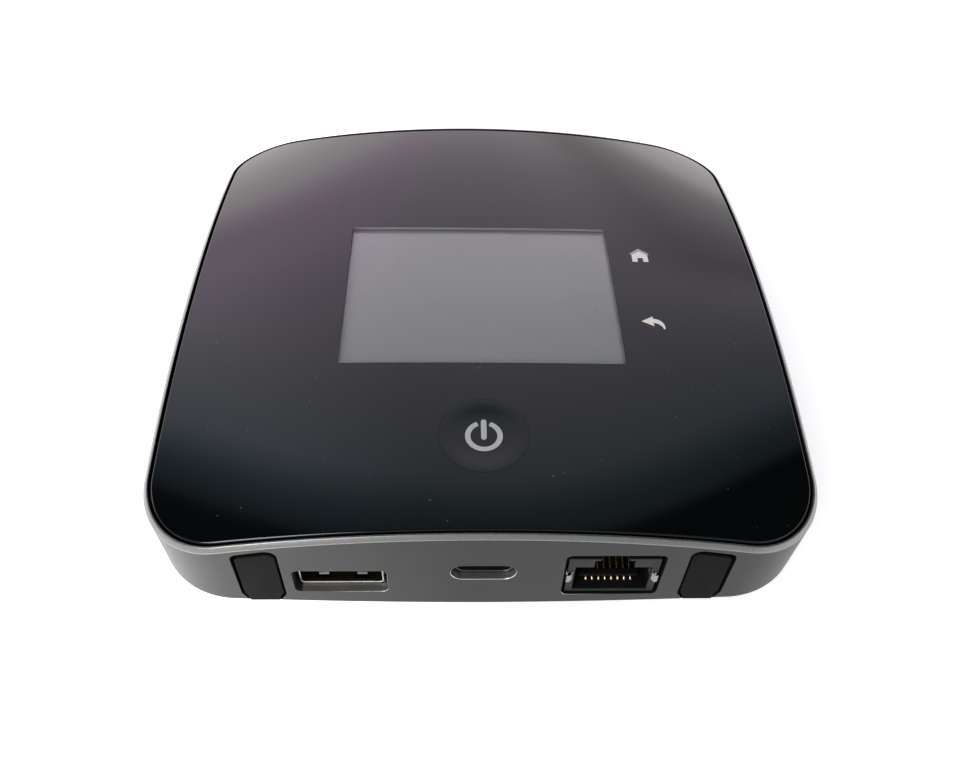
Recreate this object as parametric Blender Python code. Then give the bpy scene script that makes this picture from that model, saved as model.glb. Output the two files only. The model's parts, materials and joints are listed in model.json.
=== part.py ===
"""Mobile hotspot: a flat square router with a domed glossy top, a metal band and ports on its front.

Units are metres in the scene; every size below is in millimetres and goes through MM.
Frame: origin under the middle of the object, +X to the right, ports face -Y, +Z up.
"""
import math

import bmesh
import bpy

MM = 0.001

# Driving dimensions, millimetres
HALF = 52.75            # half of the 105.5 mm square
CORNER = 13.3           # corner radius of the band, seen from above
TOP = 21.0              # height of the middle of the domed top
FOOT_DEPTH = 0.3        # how far the feet stand below the body
EDGE_DROP = 0.86        # the top falls this far from its middle to the middle of a side
EDGE_ROUND = 0.18       # share of that fall that is an even curve; the rest comes near the edge
CORNER_DROP = 5.98      # extra fall towards the corners
BOTTOM_ROUND = 0.8      # rounding where the wall meets the underside
CORNER_LIFT = 2.0       # the underside's rim rises towards the corners
CORNER_TUCK = 0.64      # and draws in there
BEVEL = 0.6             # bright bevel along the band's upper edge
BAND_WALL = 2.6         # band thickness
PANEL_INSET = 1.3       # top panel edge, in from the band's outer face
PANEL_THICK = 1.2
LEDGE_DROP = 2.5        # ledge inside the band, below the top surface
GAP = 0.3               # clearance between neighbours
ARC_STEPS = 8           # segments in a corner arc
SIDE_STEPS = 6          # segments along a straight side

# Display and button, millimetres
WINDOW = (48.7, 35.8)
WINDOW_Y = -1.35
BUTTON_Y = -34.4
BUTTON_RADIUS = 7.2
DISH_DEPTH = 0.55

# Ports on the front, millimetres: centre x, centre z, width, height
USB_A = (-22.05, 7.5, 14.4, 6.2)
USB_C = (0.0, 10.15, 9.6, 3.8)
ETHERNET = (19.8, 9.15, 15.1, 11.6)
FLAP_X = 34.25
FLAP_WIDTH = 6.95
FLAP_HINGE = (-52.2, 1.75)      # y and z of both flap hinges
ANTENNA_Z = 8.9
PORT_CUT = (-54.0, -49.0)       # the cutters' reach in y
POCKET_BACK = -51.0             # back face of the flap pockets

# Inner stack, millimetres
COVER_THICK = 1.2
BATTERY = (-33.0, 33.0, -20.0, 46.0, 2.1, 10.4)
DECK = (10.75, 11.55)
BOARD = (11.85, 12.85)
CAN_TOP = 14.35
SPREADER = (14.65, 15.25)
BRACKET = (15.55, 16.15)
SWITCH_BOARD = (16.45, 16.95)
DISPLAY = (16.45, 18.7)
SENSOR = (18.95, 19.15)
BOARD_SCREWS = ((-42.5, 36.0), (42.5, 36.0), (-42.5, -26.0), (42.5, -26.0))
FEET = ((-36.0, -36.0), (36.0, -36.0), (-36.0, 36.0), (36.0, 36.0))


# ---------------------------------------------------------------- shapes

def crown(x, y):
    """Height of the domed top over a point, millimetres."""
    u = (x / HALF) ** 2
    v = (y / HALF) ** 2
    even = EDGE_ROUND * EDGE_DROP
    return TOP - even * (u + v) - (EDGE_DROP - even) * (u * u + v * v) - CORNER_DROP * u * v


def outline(inset):
    """Points of the rounded square, moved in from the band's outer face."""
    half = HALF - inset
    radius = max(CORNER - inset, 1.0)
    straight = half - radius
    points = []
    for quarter in range(4):
        turn = quarter * math.pi / 2
        cos_t, sin_t = math.cos(turn), math.sin(turn)
        local = []
        for i in range(ARC_STEPS + 1):
            a = i / ARC_STEPS * math.pi / 2
            local.append((straight + radius * math.cos(a), straight + radius * math.sin(a)))
        for i in range(1, SIDE_STEPS):
            local.append((straight - 2 * straight * i / SIDE_STEPS, half))
        points += [(x * cos_t - y * sin_t, x * sin_t + y * cos_t) for x, y in local]
    return points


def clipped_outline(inset, y_min):
    """The rounded square cut straight across at y_min, as one closed loop."""
    points = [p for p in outline(inset) if p[1] > y_min + 0.1]
    start = min(range(len(points)), key=lambda i: math.atan2(points[i][1] - y_min, points[i][0]))
    points = points[start:] + points[:start]
    radius = CORNER - inset
    straight = HALF - inset - radius
    past = max(-y_min - straight, 0.0)
    reach = straight + math.sqrt(radius * radius - past * past)
    return points + [(-reach, y_min), (reach, y_min)]


def new_object(name, mesh_bm, smooth_angle=None):
    """Turn a bmesh in millimetres into a named object in metres."""
    bmesh.ops.recalc_face_normals(mesh_bm, faces=mesh_bm.faces)
    bmesh.ops.scale(mesh_bm, vec=(MM, MM, MM), verts=mesh_bm.verts)
    mesh = bpy.data.meshes.new(name)
    mesh_bm.to_mesh(mesh)
    mesh_bm.free()
    if smooth_angle is not None:
        mesh.shade_smooth()
        mesh.set_sharp_from_angle(angle=math.radians(smooth_angle))
    obj = bpy.data.objects.new(name, mesh)
    bpy.context.scene.collection.objects.link(obj)
    return obj


def bridge(bm, lower, upper):
    """Join two vertex loops of equal length with quads."""
    count = len(lower)
    for i in range(count):
        j = (i + 1) % count
        bm.faces.new((lower[i], lower[j], upper[j], upper[i]))


def loft(name, loops, smooth_angle=None, tube=False):
    """Closed solid through 3-D loops; a tube joins its last loop to its first instead of capping."""
    bm = bmesh.new()
    rings = [[bm.verts.new(p) for p in loop] for loop in loops]
    for lower, upper in zip(rings, rings[1:]):
        bridge(bm, lower, upper)
    if tube:
        bridge(bm, rings[-1], rings[0])
    else:
        bm.faces.new(rings[0])
        bm.faces.new(rings[-1])
    return new_object(name, bm, smooth_angle)


def prism(name, points, low, high):
    """Upright prism on a flat outline."""
    return loft(name, [[(x, y, z) for x, y in points] for z in (low, high)])


def box(name, x0, x1, y0, y1, z0, z1):
    """Upright block from its two corners."""
    return prism(name, [(x0, y0), (x1, y0), (x1, y1), (x0, y1)], z0, z1)


def rounded_rectangle(width, height, radius, steps=4):
    """Outline of a rounded rectangle round the origin, as (a, b) pairs."""
    points = []
    corners = ((1, 1, 0), (-1, 1, 90), (-1, -1, 180), (1, -1, 270))
    for sign_a, sign_b, start in corners:
        for i in range(steps + 1):
            angle = math.radians(start + 90 * i / steps)
            a = sign_a * (width / 2 - radius) + radius * math.cos(angle)
            b = sign_b * (height / 2 - radius) + radius * math.sin(angle)
            points.append((a, b))
    return points


def front_prism(name, points, y0, y1, x=0.0, z=0.0):
    """Prism along Y whose outline lies in the XZ plane."""
    return loft(name, [[(x + a, y, z + b) for a, b in points] for y in (y0, y1)])


def side_prism(name, points, x0, x1):
    """Prism along X whose outline lies in the YZ plane."""
    return loft(name, [[(x, a, b) for a, b in points] for x in (x0, x1)])


def turned(name, profile, centre, axis="Z", steps=24):
    """Solid of revolution; profile pairs are (radius, height) and start and end on the axis."""
    bm = bmesh.new()
    cx, cy, cz = centre

    def place(radius, height, angle):
        a, b = radius * math.cos(angle), radius * math.sin(angle)
        return (cx + a, cy + b, cz + height) if axis == "Z" else (cx + a, cy + height, cz + b)

    rings = []
    for radius, height in profile:
        if radius == 0:
            rings.append([bm.verts.new(place(0, height, 0))])
        else:
            angles = [2 * math.pi * i / steps for i in range(steps)]
            rings.append([bm.verts.new(place(radius, height, t)) for t in angles])
    for lower, upper in zip(rings, rings[1:]):
        if len(lower) == 1 or len(upper) == 1:
            tip, loop = (lower[0], upper) if len(lower) == 1 else (upper[0], lower)
            for i in range(steps):
                bm.faces.new((tip, loop[i], loop[(i + 1) % steps]))
        else:
            bridge(bm, lower, upper)
    return new_object(name, bm, smooth_angle=35)


def boolean(target, tool, operation):
    """Apply one Boolean to the target and drop the tool."""
    modifier = target.modifiers.new(operation.lower(), "BOOLEAN")
    modifier.operation = operation
    modifier.solver = "EXACT"
    modifier.object = tool
    depsgraph = bpy.context.evaluated_depsgraph_get()
    mesh = bpy.data.meshes.new_from_object(target.evaluated_get(depsgraph))
    target.modifiers.clear()
    old = target.data
    target.data = mesh
    bpy.data.meshes.remove(old)
    bpy.data.objects.remove(tool)
    return target


def cut(target, *tools):
    for tool in tools:
        boolean(target, tool, "DIFFERENCE")
    return target


def join(target, *tools):
    for tool in tools:
        boolean(target, tool, "UNION")
    return target


def material(name, colour, roughness, metallic=0.0, coat=0.0):
    """One plain Principled material."""
    mat = bpy.data.materials.new(name)
    mat.use_nodes = True
    shader = mat.node_tree.nodes["Principled BSDF"]
    shader.inputs["Base Color"].default_value = (*colour, 1.0)
    shader.inputs["Roughness"].default_value = roughness
    shader.inputs["Metallic"].default_value = metallic
    shader.inputs["Coat Weight"].default_value = coat
    mat.diffuse_color = (*colour, 1.0)
    return mat


def paint(obj, colour, roughness, metallic=0.0, coat=0.0):
    """Give an object its own material, named after it."""
    obj.data.materials.clear()
    obj.data.materials.append(material(obj.name + "_finish", colour, roughness, metallic, coat))
    return obj


BLACK_GLOSS = ((0.006, 0.007, 0.009), 0.06, 0.0, 1.0)
BLACK_PLASTIC = ((0.02, 0.02, 0.022), 0.55)
BAND_METAL = ((0.11, 0.11, 0.12), 0.42, 0.6)
STEEL = ((0.6, 0.6, 0.62), 0.3, 1.0)
GOLD = ((0.85, 0.62, 0.25), 0.25, 1.0)
RUBBER = ((0.025, 0.026, 0.028), 0.8)
BOARD_GREEN = ((0.02, 0.11, 0.05), 0.5)


# ---------------------------------------------------------------- band and top

def band_level(inset, drop):
    """Loop of the band at an inset, a fixed drop below the domed top."""
    return [(x, y, crown(x, y) - drop) for x, y in outline(inset)]


def flat_level(inset, height, lift=0.0):
    """Loop at one height; a lifted one rises and draws in towards the corners."""
    loop = []
    for x, y in outline(inset):
        reach = max((x * x + y * y) / HALF ** 2 - 1.0, 0.0)
        tuck = 1.0 - (CORNER_TUCK * reach / math.hypot(x, y) if lift else 0.0)
        loop.append((x * tuck, y * tuck, height + lift * reach))
    return loop


def flap_recess(side):
    """Cutter for the pocket that an antenna flap closes, sloping with the band's upper edge."""
    inner, outer = FLAP_X - FLAP_WIDTH / 2, FLAP_X + FLAP_WIDTH / 2
    points = [(inner + 0.9, -1.0), (outer - 0.7, -1.0), (outer - 0.7, 2.1), (outer, 3.6), (outer, 14.2)]
    points += [(outer - 0.3, 14.9), (outer - 1.0, 15.3), (inner + 1.5, 16.25), (inner + 0.5, 15.9)]
    points += [(inner, 15.0), (inner, 3.3), (inner + 0.9, 2.0)]
    points = [(side * x, z) for x, z in points]
    return front_prism("cutter", points, PORT_CUT[0], POCKET_BACK)


def make_band():
    loops = [
        flat_level(BAND_WALL, FOOT_DEPTH),
        flat_level(0.6 * BOTTOM_ROUND, FOOT_DEPTH, 0.5 * CORNER_LIFT),
        flat_level(0.24 * BOTTOM_ROUND, FOOT_DEPTH + 0.3 * BOTTOM_ROUND, CORNER_LIFT),
        flat_level(0.0, FOOT_DEPTH + BOTTOM_ROUND, 1.2 * CORNER_LIFT),
        band_level(0.0, BEVEL),
        band_level(BEVEL, 0.0),
        band_level(BEVEL + 0.2, 0.0),
        band_level(BEVEL + 0.2, LEDGE_DROP),
        band_level(BAND_WALL, LEDGE_DROP),
    ]
    band = loft("frame_band", loops, smooth_angle=30, tube=True)
    for x, z, width, height in (USB_A, ETHERNET):
        shape = rounded_rectangle(width, height, 1.0)
        cut(band, front_prism("cutter", shape, *PORT_CUT, x, z))
    x, z, width, height = USB_C
    slot = rounded_rectangle(width, height, height / 2 - 0.01, 6)
    cut(band, front_prism("cutter", slot, *PORT_CUT, x, z))
    for side in (-1, 1):
        cut(band, flap_recess(side))
        bore = [(2.7 * math.cos(t), 2.7 * math.sin(t)) for t in
                (2 * math.pi * i / 20 for i in range(20))]
        cut(band, front_prism("cutter", bore, *PORT_CUT, side * FLAP_X, ANTENNA_Z))
    return paint(band, *BAND_METAL)


def make_panel_seal():
    loops = [band_level(1.4, 2.2), band_level(2.4, 2.2), band_level(2.4, 1.5), band_level(1.4, 1.5)]
    return paint(loft("panel_seal", loops, tube=True), *RUBBER)


def dome_loops(scale_steps, inset, drop):
    """Loops shrinking to the middle over the domed surface."""
    base = outline(inset)
    loops = []
    for s in scale_steps:
        loops.append([(x * s, y * s, crown(x * s, y * s) - drop) for x, y in base])
    return loops


def make_top_panel():
    scales = (0.85, 0.65, 0.4, 0.15)
    under = dome_loops(tuple(reversed(scales)), PANEL_INSET + 0.6, PANEL_THICK)
    edge = [
        band_level(PANEL_INSET, PANEL_THICK),
        band_level(PANEL_INSET, 0.5),
        band_level(PANEL_INSET + 0.15, 0.18),
        band_level(PANEL_INSET + 0.6, 0.0),
    ]
    over = dome_loops(scales, PANEL_INSET + 0.6, 0.0)
    panel = loft("top_panel", under + edge + over, smooth_angle=30)
    half_w, half_h = WINDOW[0] / 2, WINDOW[1] / 2
    low, high, radius = TOP - 5.0, TOP + 5.0, BUTTON_RADIUS + 0.2
    window = box("cutter", -half_w, half_w, WINDOW_Y - half_h, WINDOW_Y + half_h, low, high)
    hole = turned("cutter", [(0, low), (radius, low), (radius, high), (0, high)], (0, BUTTON_Y, 0), steps=36)
    return paint(cut(panel, window, hole), *BLACK_GLOSS)


def dome_patch(name, x0, x1, y0, y1, top_drop, thick, columns=8, rows=6):
    """Rectangular piece of the domed surface with an even thickness."""
    bm = bmesh.new()
    layers = []
    for drop in (top_drop + thick, top_drop):
        grid = []
        for j in range(rows + 1):
            y = y0 + (y1 - y0) * j / rows
            xs = [x0 + (x1 - x0) * i / columns for i in range(columns + 1)]
            grid.append([bm.verts.new((x, y, crown(x, y) - drop)) for x in xs])
        layers.append(grid)
        for j in range(rows):
            for i in range(columns):
                bm.faces.new((grid[j][i], grid[j][i + 1], grid[j + 1][i + 1], grid[j + 1][i]))
    low, high = layers

    def rim(grid):
        loop = grid[0][:] + [row[-1] for row in grid[1:]]
        return loop + grid[-1][-2::-1] + [row[0] for row in grid[-2:0:-1]]

    bridge(bm, rim(low), rim(high))
    return new_object(name, bm)


def make_display_lens():
    half_w, half_h = WINDOW[0] / 2 - GAP, WINDOW[1] / 2 - GAP
    lens = dome_patch("display_lens", -half_w, half_w, WINDOW_Y - half_h, WINDOW_Y + half_h, 0.0, 1.0)
    return paint(lens, (0.75, 0.78, 0.8), 0.03, 0.0, 1.0)


def make_touch_sensor():
    points = [(-26.0, -21.0), (26.0, -21.0), (26.0, -15.0), (35.5, -15.0), (35.5, 13.0), (26.0, 13.0),
              (26.0, 17.0), (-26.0, 17.0)]
    return paint(prism("touch_sensor", points, *SENSOR), (0.6, 0.62, 0.64), 0.1)


def make_display_module():
    module = box("display_module", -27.0, 27.0, -22.5, 20.0, *DISPLAY)
    return paint(module, (0.27, 0.28, 0.29), 0.25)


def make_display_bracket():
    low, high = BRACKET
    plate = box("display_bracket", -31.0, 31.0, -42.0, 24.0, low, high)
    for x in (-30.0, 27.5):
        for y in (-28.0, 21.0):
            join(plate, box("leg", x, x + 2.5, y, y + 2.5, BOARD[1] + GAP, high - 0.1))
    return paint(plate, *STEEL)


def make_display_flex():
    start, bend, high, low = 20.3, 27.2, 17.5, BOARD[1] + GAP
    profile = [(start, high), (bend, high), (bend, low), (bend - 0.3, low), (bend - 0.3, high - 0.3),
               (start, high - 0.3)]
    return paint(side_prism("display_flex", profile, -8.0, 8.0), (0.45, 0.2, 0.04), 0.4)


# ---------------------------------------------------------------- power button

def make_power_button():
    """Dished disc flush with the domed top, with a flange under the panel and a short stem."""
    bm = bmesh.new()
    steps = 36
    flange, flange_top, flange_low, stem, stem_low = 7.9, 19.15, 18.8, 1.5, 18.2
    rings = [(0.0, stem_low), (stem, stem_low), (stem, flange_low), (flange, flange_low)]
    rings += [(flange, flange_top), (BUTTON_RADIUS, flange_top)]
    radii = [BUTTON_RADIUS * k / 6 for k in range(6, 0, -1)]
    angles = [2 * math.pi * i / steps for i in range(steps)]
    loops = [[bm.verts.new((0, BUTTON_Y, stem_low))]]
    for radius, height in rings[1:]:
        loops.append([bm.verts.new((radius * math.cos(t), BUTTON_Y + radius * math.sin(t), height))
                      for t in angles])
    for radius in radii + [0.0]:
        dish = DISH_DEPTH * (1 + math.cos(math.pi * radius / BUTTON_RADIUS)) / 2
        spots = [(radius * math.cos(t), BUTTON_Y + radius * math.sin(t)) for t in angles]
        if radius == 0.0:
            spots = spots[:1]
        loops.append([bm.verts.new((x, y, crown(x, y) - dish)) for x, y in spots])
    for lower, upper in zip(loops, loops[1:]):
        if len(lower) == 1 or len(upper) == 1:
            tip, loop = (lower[0], upper) if len(lower) == 1 else (upper[0], lower)
            for i in range(steps):
                bm.faces.new((tip, loop[i], loop[(i + 1) % steps]))
        else:
            bridge(bm, lower, upper)
    return paint(new_object("power_button", bm, smooth_angle=35), *BLACK_GLOSS)


def make_button_parts():
    board = box("button_board", -10.0, 10.0, BUTTON_Y - 6.0, BUTTON_Y + 6.0, *SWITCH_BOARD)
    foot = SWITCH_BOARD[1] + 0.2
    switch = box("power_switch", -2.0, 2.0, BUTTON_Y - 2.0, BUTTON_Y + 2.0, foot, foot + 0.5)
    join(switch, turned("plunger", [(0, foot + 0.3), (1.0, foot + 0.3), (1.0, foot + 0.7), (0, foot + 0.7)],
                        (0, BUTTON_Y, 0), steps=12))
    low, high = foot + 0.1, foot + 1.1
    guide = turned("light_guide", [(0, low), (5.2, low), (5.2, high), (0, high)], (0, BUTTON_Y, 0))
    cut(guide, turned("bore", [(0, low - 1), (3.4, low - 1), (3.4, high + 1), (0, high + 1)], (0, BUTTON_Y, 0)))
    paint(board, *BOARD_GREEN)
    paint(switch, *STEEL)
    paint(guide, (0.85, 0.86, 0.88), 0.3)


# ---------------------------------------------------------------- ports

def make_usb_a():
    x, z = USB_A[0], USB_A[1]
    shell = front_prism("usb_a_shell", rounded_rectangle(13.1, 5.7, 0.7, 3), -51.3, -37.6, x, z)
    cut(shell, front_prism("bore", rounded_rectangle(12.5, 5.1, 0.4, 3), -52.0, -37.0, x, z))
    tongue = front_prism("usb_a_tongue", rounded_rectangle(11.1, 1.8, 0.2, 1), -50.2, -38.5, x, z + 0.9)
    join(tongue, front_prism("block", rounded_rectangle(11.9, 4.5, 0.3, 1), -41.0, -38.0, x, z))
    paint(shell, *STEEL)
    paint(tongue, *BLACK_PLASTIC)
    strip = box("usb_a_contacts", x - 4.0, x + 4.0, -42.0, -41.4, z - 0.45, z - 0.3)
    for offset in (-3.5, -1.25, 1.25, 3.5):
        join(strip, box("contact", x + offset - 0.45, x + offset + 0.45, -49.4, -41.7, z - 0.45, z - 0.3))
    paint(strip, *GOLD)


def make_usb_c():
    x, z = USB_C[0], USB_C[1]
    shell = front_prism("usb_c_shell", rounded_rectangle(8.94, 3.2, 1.59, 6), -51.2, -43.8, x, z)
    cut(shell, front_prism("bore", rounded_rectangle(8.34, 2.6, 1.29, 6), -52.0, -43.0, x, z))
    tongue = front_prism("usb_c_tongue", rounded_rectangle(6.7, 0.7, 0.2, 1), -50.5, -44.2, x, z)
    join(tongue, front_prism("block", rounded_rectangle(7.4, 1.9, 0.5, 2), -45.4, -44.0, x, z))
    paint(shell, *STEEL)
    paint(tongue, *BLACK_PLASTIC)


def make_ethernet():
    x, z = ETHERNET[0], ETHERNET[1]
    front, back, low, high = -52.3, -36.6, z - 5.3, z + 5.3
    housing = box("ethernet_housing", x - 6.7, x + 6.7, front, back, low, high)
    half = [(5.85, -4.85), (5.85, 1.7), (3.05, 1.7), (3.05, 3.85), (2.1, 3.85), (2.1, 4.95)]
    aperture = half + [(-a, b) for a, b in reversed(half)]
    cut(housing, front_prism("bore", aperture, front - 1, back + 1.2, x, z))
    cut(housing, box("pocket", x - 4.6, x + 4.6, back - 1.0, back + 1.0, z - 4.85, z + 0.75))
    paint(housing, *BLACK_PLASTIC)

    wall, clear = 0.25, 0.1
    side, top, bottom = 6.7 + clear + wall, high + clear + wall, low - clear - wall
    shield = box("ethernet_shield", x - side, x + side, -51.7, back + 0.8, bottom, top)
    cut(shield, box("inside", x - side + wall, x + side - wall, -52.5, back + 0.8 - wall,
                    bottom + wall, top - wall))
    cut(shield, box("floor", x - side + 1.0, x + side - 1.0, -49.0, back, bottom - 1, bottom + 1))
    paint(shield, *STEEL)

    carrier = box("ethernet_contacts", x - 4.2, x + 4.2, back - 0.9, back - 0.1, z - 3.65, z + 0.45)
    profile = [(-50.4, -4.55), (-49.9, -4.55), (-49.4, -4.3), (-37.4, -0.75), (-37.3, -0.35), (-49.5, -4.0),
               (-50.0, -4.25), (-50.4, -4.25)]
    profile = [(y, z + height) for y, height in profile]
    for i in range(8):
        centre = x + (i - 3.5) * 1.016
        join(carrier, side_prism("wire", profile, centre - 0.2, centre + 0.2))
    paint(carrier, *GOLD)


def make_antenna_ports():
    hinge_y, hinge_z = FLAP_HINGE
    for side, word in ((-1, "left"), (1, "right")):
        x = side * FLAP_X
        jack = turned("antenna_jack_" + word, [(0, -50.7), (2.35, -50.7), (2.35, -44.0), (0, -44.0)],
                      (x, 0, ANTENNA_Z), "Y", 20)
        cut(jack, turned("bore", [(0, -52.0), (1.75, -52.0), (1.75, -46.0), (0, -46.0)],
                         (x, 0, ANTENNA_Z), "Y", 20))
        paint(jack, *GOLD)
        inner, outer = FLAP_X - 3.05, FLAP_X + 3.1
        shape = [(inner + 0.9, 1.1), (outer - 0.7, 1.2), (outer - 0.7, 2.2), (outer, 3.7), (outer, 13.5),
                 (outer - 0.6, 14.0), (inner + 0.9, 14.9), (inner + 0.3, 14.6), (inner, 13.9), (inner, 3.4),
                 (inner + 0.9, 2.1)]
        points = [(side * a, b) for a, b in shape]
        flap = front_prism("antenna_flap_" + word, points, -52.45, -51.45)
        join(flap, turned("nub", [(0, -51.7), (1.2, -51.7), (1.2, -49.6), (0.9, -49.3), (0, -49.3)],
                          (x, 0, ANTENNA_Z), "Y", 16))
        pull = box("pull", x - 1.5, x + 1.5, hinge_y - 0.25, hinge_y + 0.2, hinge_z - 0.45, hinge_z + 0.2)
        join(flap, pull)
        paint(flap, *RUBBER)


# ---------------------------------------------------------------- inside

def make_chassis():
    low, high = DECK
    chassis = prism("inner_chassis", clipped_outline(BAND_WALL + GAP, -33.0), low, high)
    x0, x1, y0, y1 = BATTERY[0] - 0.4, BATTERY[1] + 0.4, BATTERY[2] - 0.4, BATTERY[3] + 0.4
    wall, foot, overlap = 1.6, 1.9, low + 0.2
    bay = box("bay", x0 - wall, x1 + wall, y0 - wall, y1 + wall - 0.2, foot, overlap)
    cut(bay, box("hollow", x0, x1, y0, y1, foot - 1, overlap + 1))
    cut(bay, box("notch", -6.5, 6.5, y0 - wall - 1, y0 + 0.5, 2.6, 7.0))
    join(chassis, bay)
    for x, y in BOARD_SCREWS:
        join(chassis, turned("boss", [(0, 4.5), (2.4, 4.5), (2.4, overlap), (0, overlap)], (x, y, 0), steps=16))
        cut(chassis, turned("bore", [(0, 5.5), (1.1, 5.5), (1.1, high + 1), (0, high + 1)], (x, y, 0),
                            steps=12))
    return paint(chassis, *BLACK_PLASTIC)


def make_board():
    low, high = BOARD
    board = prism("main_board", clipped_outline(BAND_WALL + 0.8, -48.5), low, high)
    cut(board, box("jack_space", ETHERNET[0] - 7.6, ETHERNET[0] + 7.6, -60.0, -35.2, low - 1, high + 1))
    for x, y in BOARD_SCREWS:
        cut(board, turned("hole", [(0, low - 1), (1.3, low - 1), (1.3, high + 1), (0, high + 1)], (x, y, 0),
                          steps=12))
    paint(board, *BOARD_GREEN)
    for number, (x, y) in enumerate(BOARD_SCREWS, 1):
        profile = [(0, 5.9), (0.8, 6.1), (0.8, high + GAP), (1.7, high + GAP), (1.7, high + 0.9), (0, high + 0.9)]
        paint(turned("board_screw_%d" % number, profile, (x, y, 0), steps=12), *STEEL)


def make_shield_can(name, x0, x1, y0, y1):
    low, high = BOARD[1] + GAP, CAN_TOP
    can = box(name, x0, x1, y0, y1, low, high)
    cut(can, box("hollow", x0 + 0.3, x1 - 0.3, y0 + 0.3, y1 - 0.3, low - 1, high - 0.3))
    return paint(can, *STEEL)


def make_inner_parts():
    make_shield_can("modem_shield_can", -27.0, -1.0, -22.0, 12.0)
    make_shield_can("wifi_shield_can", 2.0, 26.0, -22.0, 6.0)
    paint(box("heat_spreader", -26.5, 26.5, -22.0, 19.0, *SPREADER), (0.75, 0.42, 0.3), 0.4, 1.0)
    x0, x1, y0, y1, z0, z1 = BATTERY
    pack = loft("battery_pack", [
        [(x, y, z) for x, y in ((x0 + e, y0 + e), (x1 - e, y0 + e), (x1 - e, y1 - e), (x0 + e, y1 - e))]
        for e, z in ((0.5, z0), (0.0, z0 + 0.5), (0.0, z1 - 0.5), (0.5, z1))])
    paint(pack, (0.03, 0.03, 0.035), 0.5)
    paint(box("battery_contacts", -5.5, 5.5, -25.0, -20.5, 3.0, 6.6), *GOLD)
    socket_top = DECK[0] - GAP
    socket = box("sim_socket", -32.0, -16.0, -32.6, -22.8, socket_top - 1.4, socket_top)
    cut(socket, box("slot", -30.6, -17.4, -34.0, -23.6, socket_top - 1.1, socket_top - 0.3))
    paint(socket, *STEEL)
    near, far, low, high = 48.6, 49.4, 3.5, 10.4
    paint(box("antenna_left", -far, -near, -25.0, 25.0, low, high), *BLACK_PLASTIC)
    paint(box("antenna_right", near, far, -25.0, 25.0, low, high), *BLACK_PLASTIC)
    paint(box("antenna_rear", -28.0, 28.0, near, far, low, high), *BLACK_PLASTIC)


# ---------------------------------------------------------------- back cover

def make_back_cover():
    low, high = FOOT_DEPTH, FOOT_DEPTH + COVER_THICK
    inset = BAND_WALL + GAP
    cover = prism("back_cover", outline(inset), low, high)
    reach = HALF - inset - 0.4
    hooks = [(sx * 8.0, -reach + 0.45, 5.0, 0.9) for sx in (-1, 1)]
    hooks += [(sx * 20.0, reach - 0.45, 6.0, 0.9) for sx in (-1, 1)]
    hooks += [(sx * (reach - 0.45), sy * 31.0, 0.9, 6.0) for sx in (-1, 1) for sy in (-1, 1)]
    for x, y, width, depth in hooks:
        join(cover, box("hook", x - width / 2, x + width / 2, y - depth / 2, y + depth / 2, high - 0.3, high + 1.6))
    for x, y in FEET:
        cut(cover, turned("recess", [(0, low - 1), (4.3, low - 1), (4.3, 0.9), (0, 0.9)], (x, y, 0)))
    paint(cover, *BLACK_PLASTIC)
    for number, (x, y) in enumerate(FEET, 1):
        foot = turned("foot_%d" % number, [(0, 0), (3.8, 0), (4.0, 0.2), (4.0, 0.6), (0, 0.6)], (x, y, 0))
        paint(foot, *RUBBER)


def main():
    for obj in list(bpy.data.objects):
        bpy.data.objects.remove(obj)
    make_band()
    make_panel_seal()
    make_top_panel()
    make_display_lens()
    make_touch_sensor()
    make_display_module()
    make_display_bracket()
    make_display_flex()
    make_power_button()
    make_button_parts()
    make_usb_a()
    make_usb_c()
    make_ethernet()
    make_antenna_ports()
    make_chassis()
    make_board()
    make_inner_parts()
    make_back_cover()


main()
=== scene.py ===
"""Looks for the mobile hotspot: a flat square router with a domed glossy top and sockets along its front.

Lengths are millimetres until they reach a mesh or an object, where MM turns them into metres.
Frame: origin under the middle of the object, +X to the right, the sockets face -Y, +Z up.
"""
import json
import math

import bmesh
import bpy
from mathutils import Matrix, Vector


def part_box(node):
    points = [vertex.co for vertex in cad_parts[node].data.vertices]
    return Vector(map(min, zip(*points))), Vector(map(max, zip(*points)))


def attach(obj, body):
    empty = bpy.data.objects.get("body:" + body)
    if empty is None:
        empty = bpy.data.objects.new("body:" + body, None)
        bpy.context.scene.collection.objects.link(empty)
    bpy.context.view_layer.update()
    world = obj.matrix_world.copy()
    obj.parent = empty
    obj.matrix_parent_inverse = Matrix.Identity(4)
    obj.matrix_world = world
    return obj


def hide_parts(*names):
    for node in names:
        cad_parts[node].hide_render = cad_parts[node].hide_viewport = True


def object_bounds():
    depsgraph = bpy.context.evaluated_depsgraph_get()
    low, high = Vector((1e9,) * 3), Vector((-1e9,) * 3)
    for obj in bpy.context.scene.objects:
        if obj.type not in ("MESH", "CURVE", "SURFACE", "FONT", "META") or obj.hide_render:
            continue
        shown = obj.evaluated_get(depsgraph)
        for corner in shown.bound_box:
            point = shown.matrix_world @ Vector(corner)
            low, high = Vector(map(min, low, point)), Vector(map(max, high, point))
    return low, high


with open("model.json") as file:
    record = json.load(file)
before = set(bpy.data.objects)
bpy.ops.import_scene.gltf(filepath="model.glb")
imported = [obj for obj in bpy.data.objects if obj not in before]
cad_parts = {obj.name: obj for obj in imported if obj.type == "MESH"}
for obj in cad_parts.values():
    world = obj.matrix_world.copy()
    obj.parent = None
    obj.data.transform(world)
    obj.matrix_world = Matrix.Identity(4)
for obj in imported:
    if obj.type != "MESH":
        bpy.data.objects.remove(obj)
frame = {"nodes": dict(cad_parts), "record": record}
CAD_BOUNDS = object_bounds()
NODES = frame["nodes"]

MM = 0.001


def node_box(name):
    """Box round a CAD node in millimetres, as its low and high corners."""
    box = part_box(name)
    return [Vector([value / MM for value in box[k]]) for k in (0, 1)]


def node_middle(name):
    low, high = node_box(name)
    return (low + high) / 2


# ---- sizes

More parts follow.
